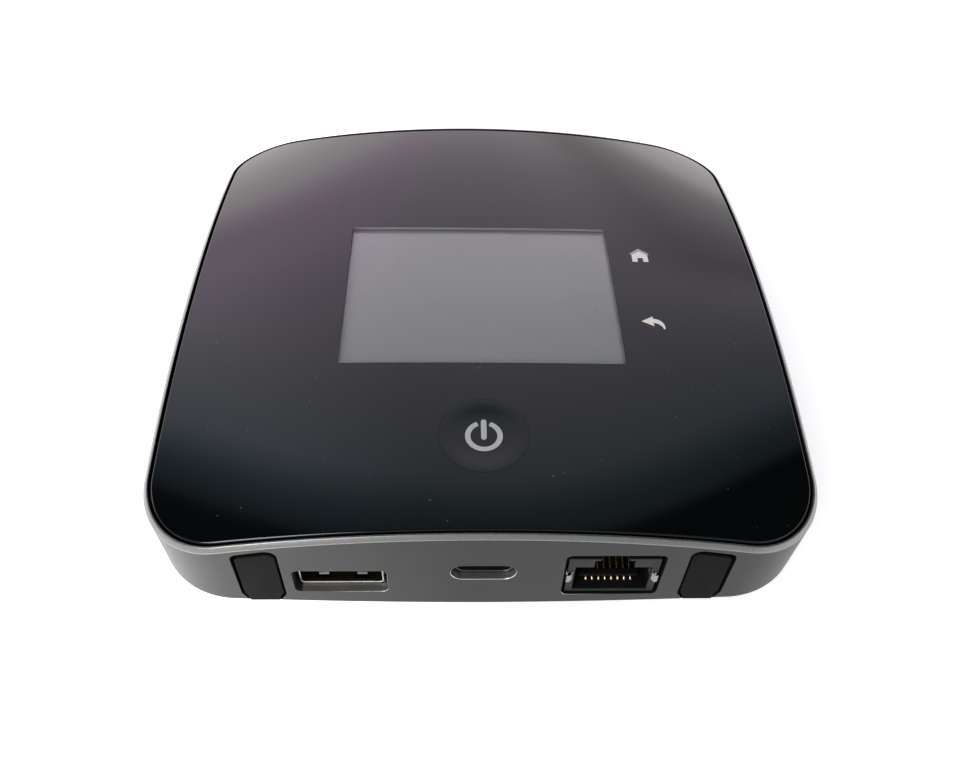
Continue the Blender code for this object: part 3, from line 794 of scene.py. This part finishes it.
def make_display():
    lens = dome_patch("lens_pane", WINDOW_HALF[0] - SEAM, WINDOW_HALF[1] - SEAM, 0.0, 1.0)
    dome_normals(lens)
    dress(lens, "glass", "lens_edge")
    for face in lens.data.polygons:
        if abs(face.normal.z) < 0.5:
            face.material_index = 1
    stand_for(lens, "housing", "lens_clear", "display_lens")

    film = dome_patch("touch_film", WINDOW_HALF[0] + 1.6, WINDOW_HALF[1] + 0.6, PANEL_THICK + 0.02, 0.04,
                      20, 14)
    finished(film, "glass", "housing", "lens_clear", "touch_sensor")

    low, high = node_box("display_module")
    face = dome_patch("display_face", WINDOW_HALF[0] + 0.8, WINDOW_HALF[1] + 0.5, PANEL_THICK + 0.1, 0.6)
    dress(face, "display")
    tray = eased_block("display_tray", low.x, high.x, low.y, high.y, low.z, high.z, 0.2, 0.8)
    dress(tray, "steel")
    stand_for(face, "housing", "display_grey")
    stand_for(tray, "housing", "display_grey", "display_module")


# ---- power button and icons

def make_power_button():
    """Dished disc in the glossy black of the panel, with a flange below it and a short stem."""
    radius = BUTTON_RADIUS - 0.6 * SEAM
    rings = 22
    low, high = node_box("power_button")
    flange = (high.x - low.x) / 2
    flange_top, flange_low, stem = 19.15, 18.8, 1.5

    def ring(r, height):
        return [(x, y, height) for x, y in circle(r, BUTTON_STEPS, (0.0, BUTTON_Y))]

    def surface_ring(r, drop=0.0):
        return [(x, y, dished(x, y) - drop) for x, y in circle(r, BUTTON_STEPS, (0.0, BUTTON_Y))]

    loops = [ring(stem, low.z), ring(stem, flange_low), ring(flange, flange_low), ring(flange, flange_top),
             ring(radius, flange_top), surface_ring(radius, 0.03)]
    loops += [surface_ring(radius * (1 - i / rings) - 0.02 * (i == 0)) for i in range(rings)]
    disc = loft("power_disc", loops, smooth=35.0)
    dome_normals(disc, dished)
    finished(disc, "gloss", "power_button", "panel_gloss", "power_button")


def decal(name, outer, surface, finish, body):
    """Thin raised ink: a closed slab on a surface, from its outline in plan."""
    loops = [[(x, y, surface(x, y) + rise) for x, y in outer] for rise in (-INK_DEPTH, INK_RISE)]
    finished(loft(name, loops), finish, body, "panel_gloss")


def make_icons():
    """Power sign on the button; a house and a curved arrow on the panel."""
    middle = (0.0, BUTTON_Y - 0.08)
    outer, inner, gap_half = 2.97, 2.12, 0.95
    radius = (outer + inner) / 2
    gap_angle = math.asin(gap_half / radius)
    ring = arc(radius, math.pi / 2 + gap_angle, 2 * (math.pi - gap_angle), 60, middle)
    edges = strip(ring, [(outer - inner) / 2] * len(ring))
    bar_half, bar_top, bar_low = 0.44, middle[1] + 3.25, middle[1] - 0.75
    bar = arc(bar_half, 0.0, math.pi, 10, (middle[0], bar_top - bar_half))
    bar += arc(bar_half, math.pi, math.pi, 10, (middle[0], bar_low + bar_half))
    ribbon("power_sign_ring", edges, dished, "ink_grey", "power_button")
    decal("power_sign_bar", bar, dished, "ink_grey", "power_button")

    x, y = 30.3, 8.8
    roof = [(x - 1.85, y + 0.45), (x + 0.0, y + 1.93), (x + 1.85, y + 0.45), (x + 1.62, y + 0.2),
            (x, y + 1.45), (x - 1.62, y + 0.2)]
    walls = [(x - 1.5, y + 0.12), (x, y + 1.3), (x + 1.5, y + 0.12), (x + 1.5, y - 1.85),
             (x + 0.55, y - 1.85), (x + 0.55, y - 0.75), (x - 0.5, y - 0.75), (x - 0.5, y - 1.85),
             (x - 1.5, y - 1.85)]
    decal("home_sign_roof", roof, crown, "ink_grey", "housing")
    decal("home_sign_walls", walls, crown, "ink_white", "housing")

    x, y = 30.3, -9.5
    head = [(x - 2.0, y + 0.55), (x + 0.12, y + 1.75), (x + 0.12, y - 0.65)]
    decal("back_sign_head", head, crown, "ink_white", "housing")
    steps = 16
    tail = arc(1.75, math.pi / 2, -0.52 * math.pi, steps, (x + 0.1, y - 1.2), 1.85 / 1.75)
    widths = [0.5 - 0.38 * (i / steps) ** 2 for i in range(steps + 1)]
    ribbon("back_sign_tail", strip(tail, widths), crown, "ink_white", "housing")


def strip(points, half_widths):
    """Left and right edges of a band along a path."""
    edges = []
    for point, half_width, along in zip(points, half_widths, headings(points)):
        across = Vector((-along.y, along.x)) * half_width
        edges.append((tuple(Vector(point) + across), tuple(Vector(point) - across)))
    return edges


def ribbon(name, edges, surface, finish, body):
    """Thin raised ink between two edges, as one closed slab on a surface."""
    loops = []
    for (ax, ay), (bx, by) in edges:
        a, b = surface(ax, ay), surface(bx, by)
        loops.append([(ax, ay, a - INK_DEPTH), (bx, by, b - INK_DEPTH),
                      (bx, by, b + INK_RISE), (ax, ay, a + INK_RISE)])
    finished(loft(name, loops), finish, body, "panel_gloss")


# ---- sockets

def make_flaps():
    """Rubber flaps with eased edges, a groove below the top edge and a pull tab at the hinge."""
    for side, word in SIDES:
        low, high = node_box("antenna_flap_" + word)
        inner, outer = ANTENNA.x - 3.05, ANTENNA.x + 3.1
        shape = [(inner + 0.75, 1.2), (outer - 0.55, 1.2), (outer - 0.55, 2.2), (outer, 3.7), (outer, 13.5),
                 (outer - 0.6, 14.0), (inner + 0.9, 14.9), (inner + 0.3, 14.6), (inner, 13.9), (inner, 3.4),
                 (inner + 0.75, 2.1)]
        points = [(side * a, b) for a, b in softened(shape, 0.3)]
        flap = eased_prism("flap_" + word, points, low.y, FLAP_BACK, 0.2, both=True)
        groove = front_prism("groove", offset(points, -0.42), low.y - 1, low.y + 0.12)
        cut(groove, front_prism("island", offset(points, -0.62), low.y - 2, low.y + 1))
        cut(flap, groove)
        axle = (side * ANTENNA.x, 0, ANTENNA.z)
        plug = turned("plug", [(0, -51.7), (1.2, -51.7), (1.2, -49.7), (1.0, -49.4), (0.8, high.y),
                               (0, high.y)], axle, "Y", 40)
        tab = eased_prism("tab", rounded_rectangle(3.0, 0.65, 0.2, 4), low.y, -52.0, 0.08,
                          side * ANTENNA.x, 1.625)
        join(flap, plug, tab)
        smooth_shade(flap, 40.0)
        finished(flap, "rubber", "antenna_flap_" + word, "seal_rubber", "antenna_flap_" + word)

        jack = turned("antenna_tube_" + word,
                      [(0, -46.0), (1.75, -46.0), (1.75, -50.6), (1.85, -50.7), (2.25, -50.7), (2.35, -50.6),
                       (2.35, -48.6), (2.05, -48.5), (2.05, -48.1), (2.35, -48.0), (2.35, -44.0), (0, -44.0)],
                      axle, "Y", 56)
        finished(jack, "gold", "housing", "contact_gold", "antenna_jack_" + word)
        pin = turned("antenna_pin_" + word,
                     [(0, -48.6), (0.12, -48.6), (0.22, -48.4), (0.22, -45.9), (0, -45.9)], axle, "Y", 20)
        finished(pin, "gold", "housing", "contact_gold")


def make_usb_a():
    """Flared steel shell with spring tongues in its floor and roof, black tongue and gilt contacts."""
    low, high = node_box("usb_a_shell")
    x, z = USB_A.x, USB_A.z
    width, height = high.x - low.x, high.z - low.z
    shell = eased_prism("usb_a_jacket", rounded_rectangle(width, height, 0.7), low.y, high.y, 0.15, x, z)
    inside = rounded_rectangle(width - 0.6, height - 0.6, 0.45)
    cut(shell, lip_cutter(inside, low.y, high.y + 1, 0.14, x, z))
    floor, roof = z - height / 2, z + height / 2
    spring_x = 3.0
    for side in (-1, 1):
        middle = x + side * spring_x
        for level in (floor, roof):
            cut(shell, block("window", middle - 1.15, middle + 1.15, -50.45, -44.5,
                             level - 0.6, level + 0.6))
    smooth_shade(shell, 30.0)
    # painted shade: the faces inside the shell take the darker inside finish
    dress(shell, "steel", "inside_painted_shade")
    for face in shell.data.polygons:
        spot = face.center / MM
        within = abs(spot.x - x) < width / 2 - 0.2 and abs(spot.z - z) < height / 2 - 0.2
        if within and spot.y > low.y + 0.2:
            face.material_index = 1
    stand_for(shell, "housing", "steel", "usb_a_shell")
    profile = [(-49.95, -0.05), (-49.3, 0.28), (-48.4, 0.3), (-44.4, -0.28)]
    for side, hand in SIDES:
        middle = x + side * spring_x
        for word, level, up in (("floor", floor + 0.3, 1), ("roof", roof - 0.3, -1)):
            section = [(y, level + up * (h + 0.1)) for y, h in profile]
            section += [(y, level + up * (h - 0.1)) for y, h in profile[::-1]]
            spring = loft("usb_a_spring_%s_%s" % (word, hand),
                          [[(px, y, h) for y, h in section] for px in (middle - 0.8, middle + 0.8)])
            soften_edges(spring, 0.03)
            finished(spring, "spring", "housing", "steel")
    tongue_low, tongue_high = node_box("usb_a_tongue")
    tongue = eased_prism("usb_a_blade", rounded_rectangle(11.1, 1.8, 0.2, 4), tongue_low.y, -38.5, 0.15,
                         x, z + 0.9)
    join(tongue, front_prism("back", rounded_rectangle(11.9, 4.5, 0.3, 4), -41.0, tongue_high.y, x, z))
    smooth_shade(tongue, 30.0)
    finished(tongue, "port", "housing", "port_plastic", "usb_a_tongue")


def make_usb_c():
    """Steel shell darkened with painted shade, with a black tongue and two rows of gilt pads."""
    low, high = node_box("usb_c_shell")
    x, z = USB_C.x, USB_C.z
    width, height = high.x - low.x, high.z - low.z
    front = low.y - 0.4
    oval = rounded_rectangle(width, height, height / 2 - 0.01, 14)
    shell = eased_prism("usb_c_jacket", oval, front, high.y, 0.05, x, z)
    inside = rounded_rectangle(width - 0.6, height - 0.6, height / 2 - 0.31, 14)
    cut(shell, lip_cutter(inside, front, high.y + 1, 0.05, x, z))
    smooth_shade(shell, 30.0)
    finished(shell, "steel_painted_shade", "housing", "steel", "usb_c_shell")
    tongue_low, tongue_high = node_box("usb_c_tongue")
    tongue = eased_prism("usb_c_blade", rounded_rectangle(6.7, 0.7, 0.2, 3), tongue_low.y, -44.2, 0.12, x, z)
    join(tongue, front_prism("back", rounded_rectangle(7.4, 1.9, 0.5, 4), -45.4, tongue_high.y, x, z))
    smooth_shade(tongue, 30.0)
    finished(tongue, "port", "housing", "port_plastic", "usb_c_tongue")
    middles = [(x + (i - 5.5) * 0.5, z + row * 0.36) for row in (-1, 1) for i in range(12)]
    contact_pads("usb_c_pads", "housing",
                 [(a - 0.13, a + 0.13, -50.1, -46.0, b - 0.03, b + 0.03) for a, b in middles])


def merge(target, other):
    """Put another object's mesh into the target as separate solids."""
    bm = bmesh.new()
    bm.from_mesh(target.data)
    bm.from_mesh(other.data)
    bm.to_mesh(target.data)
    bm.free()
    bpy.data.objects.remove(other)


def contact_pads(name, body, boxes):
    """Gilt contact pads as one piece; each box is its X, Y and Z ranges."""
    pads = block(name, *boxes[0])
    for box in boxes[1:]:
        merge(pads, block(name, *box))
    finished(pads, "gold", body, "contact_gold")


def bent_strip(name, path, thick, spans):
    """Sheet-metal strip that follows a path in plan, with its own low and high edge at each point."""
    loops = []
    for (px, py), (low, high), along in zip(path, spans, headings(path)):
        across = Vector((-along.y, along.x)) * (thick / 2)
        loops.append([(px + across.x, py + across.y, low), (px + across.x, py + across.y, high),
                      (px - across.x, py - across.y, high), (px - across.x, py - across.y, low)])
    return loft(name, loops, smooth=40.0)


def make_ethernet():
    """Stepped modular socket: black housing, steel shield with side springs, eight gilt wires."""
    x, z = JACK.x, JACK.z
    low, high = node_box("ethernet_housing")
    half_w, top = (high.x - low.x) / 2, 4.2
    body = [(half_w, low.z - z), (half_w, top), (-half_w, top), (-half_w, low.z - z)]
    housing = eased_prism("ethernet_block", softened(body, 0.3), low.y + 0.3, high.y, 0.1, x, z)
    plate = [(7.05, low.z - z - 0.3), (7.05, top), (-7.05, top), (-7.05, low.z - z - 0.3)]
    join(housing, eased_prism("plate", softened(plate, 0.3), low.y, low.y + 0.55, 0.12, x, z))
    half = [(5.85, -4.85), (5.85, 1.7), (3.05, 1.7), (3.05, 3.6), (2.1, 3.6), (2.1, 5.5)]
    aperture = half + [(-a, b) for a, b in reversed(half)]
    cut(housing, lip_cutter(aperture, low.y, high.y - 1.2, 0.15, x, z))
    cut(housing, block("pocket", x - 4.6, x + 4.6, high.y - 2.0, high.y + 1.0, z - 4.85, z + 0.75))
    for side in (-1, 1):
        notch = rounded_rectangle(1.7, 2.5, 0.5)
        cut(housing, front_prism("notch", notch, low.y - 1, low.y + 1.3, x + side * 7.0, z - 1.2))
    comb = eased_prism("comb", rounded_rectangle(9.4, 0.5, 0.1), -50.45, -49.35, 0.08, x, z - 3.85)
    merge(housing, comb)
    smooth_shade(housing, 30.0)
    dress(housing, "port", "port_face")
    for face in housing.data.polygons:
        if face.center.y / MM < low.y + 0.2:
            face.material_index = 1
    stand_for(housing, "housing", "port_plastic", "ethernet_housing")

    for side, word in SIDES:
        path = [(5.8, -49.6), (5.75, -51.0), (5.9, -51.9), (6.3, -52.4), (6.7, -52.6), (7.05, -52.55),
                (7.2, -52.3)]
        spring = bent_strip("ethernet_spring_" + word, [(x + side * a, y) for a, y in path], 0.12,
                            [(z + 0.6, z + 1.1), (z - 0.4, z + 0.9), (z - 1.1, z + 0.6), (z - 1.9, z + 0.1),
                             (z - 2.1, z - 0.2), (z - 2.1, z - 0.2), (z - 2.0, z - 0.3)])
        finished(spring, "spring", "housing", "steel")

    contact_high = node_box("ethernet_contacts")[1]
    rake = [(-50.75, -4.55), (-50.6, -4.3), (-50.2, -4.26), (-49.3, -4.1), (-45.5, -2.95), (-41.5, -1.8),
            (-37.4, -0.6)]
    back = contact_high.y
    wires = block("ethernet_wires", x - 4.2, x + 4.2, back - 0.8, back, z - 3.65, z + 0.45)
    pitch, wire_radius = 1.016, 0.18
    for i in range(8):
        middle = x + (i - 3.5) * pitch
        merge(wires, loft("wire", [
            [(middle + a, y - along.y * b, z + h + along.x * b) for a, b in circle(wire_radius, 10)]
            for (y, h), along in zip(rake, headings(rake))]))
    smooth_shade(wires, 40.0)
    finished(wires, "gold", "housing", "contact_gold", "ethernet_contacts")


# ---- underside

def make_back_cover():
    """Textured cover with an eased rim, a pry notch, snap hooks and recesses for the feet."""
    low, high = node_box("back_cover")
    plate_top = FOOT_DEPTH + 1.2
    inset = HALF - high.x
    loops = [[(a, b, low.z + depth) for a, b in outline(inset + out)] for depth, out in quarter(0.25)]
    loops.append([(a, b, plate_top) for a, b in outline(inset)])
    cover = loft("cover_shell", loops)
    reach = HALF - inset - 0.4
    hooks = [(sx * 8.0, -reach + 0.45, 5.0, 0.9) for sx in (-1, 1)]
    hooks += [(sx * 20.0, reach - 0.45, 6.0, 0.9) for sx in (-1, 1)]
    hooks += [(sx * (reach - 0.45), sy * 31.0, 0.9, 6.0) for sx in (-1, 1) for sy in (-1, 1)]
    for cx, cy, width, depth in hooks:
        join(cover, block("hook", cx - width / 2, cx + width / 2, cy - depth / 2, cy + depth / 2,
                          plate_top - 0.3, high.z))
    feet = [node_middle("foot_%d" % n) for n in (1, 2, 3, 4)]
    recess = [(0, low.z - 1), (4.3, low.z - 1), (4.3, 0.9), (0, 0.9)]
    for spot in feet:
        cut(cover, turned("recess", recess, (spot.x, spot.y, 0)))
    notch = arc(6.0, 0.0, math.pi, 24, (0.0, -reach - 0.6), 2.2 / 6.0)
    cut(cover, upright("notch", notch, low.z - 1, low.z + 0.5))
    smooth_shade(cover, 30.0)
    finished(cover, "cover", "back_cover", "cover_plastic", "back_cover")
    rounding = arc(0.35, -math.pi / 2, math.pi / 2, 5, (3.55, 0.35))[1:]
    pad = [(0, 0), (3.55, 0)] + rounding + [(3.9, 0.6), (0, 0.6)]
    for number, spot in enumerate(feet, 1):
        foot = turned("foot_pad_%d" % number, pad, (spot.x, spot.y, 0))
        finished(foot, "rubber", "back_cover", "seal_rubber", "foot_%d" % number)


def make_battery():
    """Battery case with rounded edges, a shallow panel and finger notch below, and gilt contact pads."""
    low, high = node_box("battery_pack")
    middle = (low + high) / 2
    case = eased_block("battery_case", low.x, high.x, low.y, high.y, low.z, high.z, 0.6, 2.0)
    sunk = rounded_rectangle(high.x - low.x - 8.0, high.y - low.y - 8.0, 2.0)
    cut(case, upright("sunk", [(middle.x + a, middle.y + b) for a, b in sunk], low.z - 1.0, low.z + 0.2))
    grip = circle(7.0, 48, (middle.x, high.y + 1.0), 0.5)
    cut(case, upright("grip", grip, low.z - 1.0, low.z + 1.2))
    smooth_shade(case, 30.0)
    finished(case, "battery", "battery", "battery_wrap", "battery_pack")
    middles = [middle.x + (i - 1.5) * 2.6 for i in range(4)]
    contact_pads("battery_pads", "battery",
                 [(x - 0.8, x + 0.8, low.y - 0.02, low.y + 0.2, middle.z - 1.3, middle.z + 1.3)
                  for x in middles])


# ---- studio

# The camera's place is in millimetres; its angles are in degrees, yaw clockwise from +Y.
CAMERA_PLACE = (-4.77, -121.29, 131.05)
CAMERA_YAW, CAMERA_PITCH, CAMERA_ROLL = 2.539, 48.471, 2.125
CAMERA_LENS, SENSOR_WIDTH = 33.574, 36.0
FLOOR_HALF = 3000.0


def make_camera():
    yaw, pitch, roll = (math.radians(a) for a in (CAMERA_YAW, CAMERA_PITCH, CAMERA_ROLL))
    forward = Vector((math.sin(yaw) * math.cos(pitch), math.cos(yaw) * math.cos(pitch), -math.sin(pitch)))
    level = Vector((math.cos(yaw), -math.sin(yaw), 0.0))
    upward = level.cross(forward)
    right = level * math.cos(roll) + upward * math.sin(roll)
    up = upward * math.cos(roll) - level * math.sin(roll)
    data = bpy.data.cameras.new("camera")
    data.lens, data.sensor_width = CAMERA_LENS, SENSOR_WIDTH
    data.clip_start = 0.005
    camera = bpy.data.objects.new("camera", data)
    bpy.context.scene.collection.objects.link(camera)
    turn = Matrix((right, up, -forward)).transposed()
    camera.matrix_world = Matrix.Translation(Vector(CAMERA_PLACE) * MM) @ turn.to_4x4()
    bpy.context.scene.camera = camera


def make_floor():
    """White paper with painted light: it glows so that it stays white round the object, washing out the
    object's shadows, and glows brightest on the left.
    """
    bm = bmesh.new()
    bmesh.ops.create_grid(bm, x_segments=2, y_segments=2, size=FLOOR_HALF)
    floor = mesh_object("floor", bm)
    finish = Finish("floor_paper", (0.9, 0.9, 0.9), 0.9)
    finish.vary_colour(finish.noise(400.0, 2.0), (0.92, 0.92, 0.92))
    # painted light: the paper's emission, strongest on the left, makes it glow and light the object
    finish.set("Emission Color", (1.0, 1.0, 1.0, 1.0))
    x = axes(finish.tree, finish.place)[0]
    right = map_range(finish.tree, x, -62.0 * MM, -2.0 * MM, 1.8, 0.6)
    left = map_range(finish.tree, x, -95.0 * MM, -66.0 * MM, 0.8, 1.8)
    glow = math_node(finish.tree, "MINIMUM", right, left)
    finish.links.new(glow, finish.shader.inputs["Emission Strength"])
    floor.data.materials.append(finish.material)


def make_sky():
    """Studio surround: a broad bright panel high behind the object, light walls, dim front and ceiling.

    The panel is laid out on a flat ceiling, so it uses the direction divided by its height.
    """
    world = bpy.data.worlds.new("studio")
    bpy.context.scene.world = world
    world.use_nodes = True
    tree = world.node_tree
    nodes, links = tree.nodes, tree.links

    def maths(operation, first, second):
        return math_node(tree, operation, first, second)

    def vector_maths(operation, first, second):
        node = nodes.new("ShaderNodeVectorMath")
        node.operation = operation
        links.new(first, node.inputs[0])
        links.new(second, node.inputs[1])
        return node.outputs["Vector"]

    def smooth_step(value, start, end, low=0.0, high=1.0):
        return map_range(tree, value, start, end, low, high, smooth=True)

    x, y, z = axes(tree, nodes.new("ShaderNodeTexCoord").outputs["Generated"])
    height = maths("MAXIMUM", z, 0.05)
    across = maths("DIVIDE", x, height)
    behind = maths("DIVIDE", y, height)
    leaning = maths("MINIMUM", maths("ADD", across, 0.1), 0.0)
    slanted = maths("SUBTRACT", behind, maths("MULTIPLY", leaning, smooth_step(y, 0.0, 0.2, 0.0, 0.18)))
    reach = 2.4
    stops = [(-2.4, (0.5, 0.5, 0.5)), (-1.0, (0.42, 0.42, 0.42)), (-0.45, (0.2, 0.2, 0.2)),
             (-0.1, (0.03, 0.03, 0.03)), (0.43, (0.015, 0.02, 0.022)), (0.47, (0.14, 0.2, 0.24)),
             (0.52, (0.19, 0.27, 0.31)), (0.57, (0.32, 0.44, 0.48)), (0.62, (0.52, 0.58, 0.67)),
             (0.72, (0.66, 0.68, 0.77)), (0.84, (0.8, 0.78, 0.87)), (1.1, (1.12, 1.05, 1.2)),
             (1.35, (1.4, 1.27, 1.45)), (1.6, (1.6, 1.43, 1.62)), (2.0, (1.95, 1.83, 1.93)),
             (2.4, (2.1, 2.0, 2.05))]
    ramp = nodes.new("ShaderNodeValToRGB")
    points = ramp.color_ramp.elements
    for _ in stops[2:]:
        points.new(0.5)
    for element, (spot, level) in zip(points, stops):
        element.position = (spot + reach) / (2 * reach)
        element.color = (*level, 1.0)
    links.new(map_range(tree, slanted, -reach, reach), ramp.inputs["Fac"])
    low_band = maths("MULTIPLY", smooth_step(slanted, 1.8, 0.8), smooth_step(slanted, 0.42, 0.62))
    left = maths("MULTIPLY", smooth_step(across, 0.0, -0.55, 0.0, 0.75), low_band)
    high_band = maths("MULTIPLY", smooth_step(slanted, 1.05, 1.35), smooth_step(slanted, 4.0, 2.2))
    right = maths("MULTIPLY", smooth_step(across, 0.2, 0.55, 0.0, 0.38), high_band)
    brighter = maths("ADD", 1.0, maths("SUBTRACT", left, right))
    middle_band = maths("MULTIPLY", smooth_step(slanted, 0.8, 1.2), smooth_step(slanted, 2.4, 1.9))
    purple = maths("MULTIPLY", smooth_step(across, 0.0, -0.35, 0.0, 0.13), middle_band)
    tint = nodes.new("ShaderNodeCombineXYZ")
    links.new(brighter, tint.inputs["X"])
    links.new(maths("SUBTRACT", brighter, purple), tint.inputs["Y"])
    links.new(brighter, tint.inputs["Z"])
    panel = vector_maths("MULTIPLY", ramp.outputs["Color"], tint.outputs["Vector"])
    sides = maths("ADD", smooth_step(x, -0.1, -0.7, 0.3, 0.6), smooth_step(x, 0.3, 0.9, 0.0, 0.7))
    walls = maths("MULTIPLY", smooth_step(z, 0.45, 0.2),
                  maths("MAXIMUM", sides, smooth_step(y, -0.3, 0.2, 0.0, 1.1)))
    links.new(vector_maths("MAXIMUM", panel, walls), nodes["Background"].inputs["Color"])


def area_light(name, place, target, size, power):
    """Rectangular light that faces its target; lengths in millimetres, power in watts."""
    data = bpy.data.lights.new(name, "AREA")
    data.shape = "RECTANGLE"
    data.size, data.size_y = size[0] * MM, size[1] * MM
    data.energy = power
    lamp = bpy.data.objects.new(name, data)
    bpy.context.scene.collection.objects.link(lamp)
    place, target = Vector(place) * MM, Vector(target) * MM
    lamp.location = place
    lamp.rotation_euler = (target - place).to_track_quat("-Z", "Y").to_euler()


def make_studio():
    make_camera()
    make_floor()
    make_sky()
    area_light("key", place=(-400.0, -520.0, 520.0), target=(0.0, 0.0, 0.0), size=(360.0, 360.0), power=3.2)
    view = bpy.context.scene.view_settings
    view.view_transform = "Standard"
    view.look = "None"


# ---- assembly

def dress_frame():
    """Give every CAD node that stays in view its own finish."""
    for name, obj in NODES.items():
        dress(obj, SLOT_FINISH[NODE_SLOT[name]])


def main():
    make_studio()
    dress_frame()
    make_band()
    make_top_panel()
    make_display()
    make_power_button()
    make_icons()
    make_flaps()
    make_usb_a()
    make_usb_c()
    make_ethernet()
    make_back_cover()
    make_battery()


main()
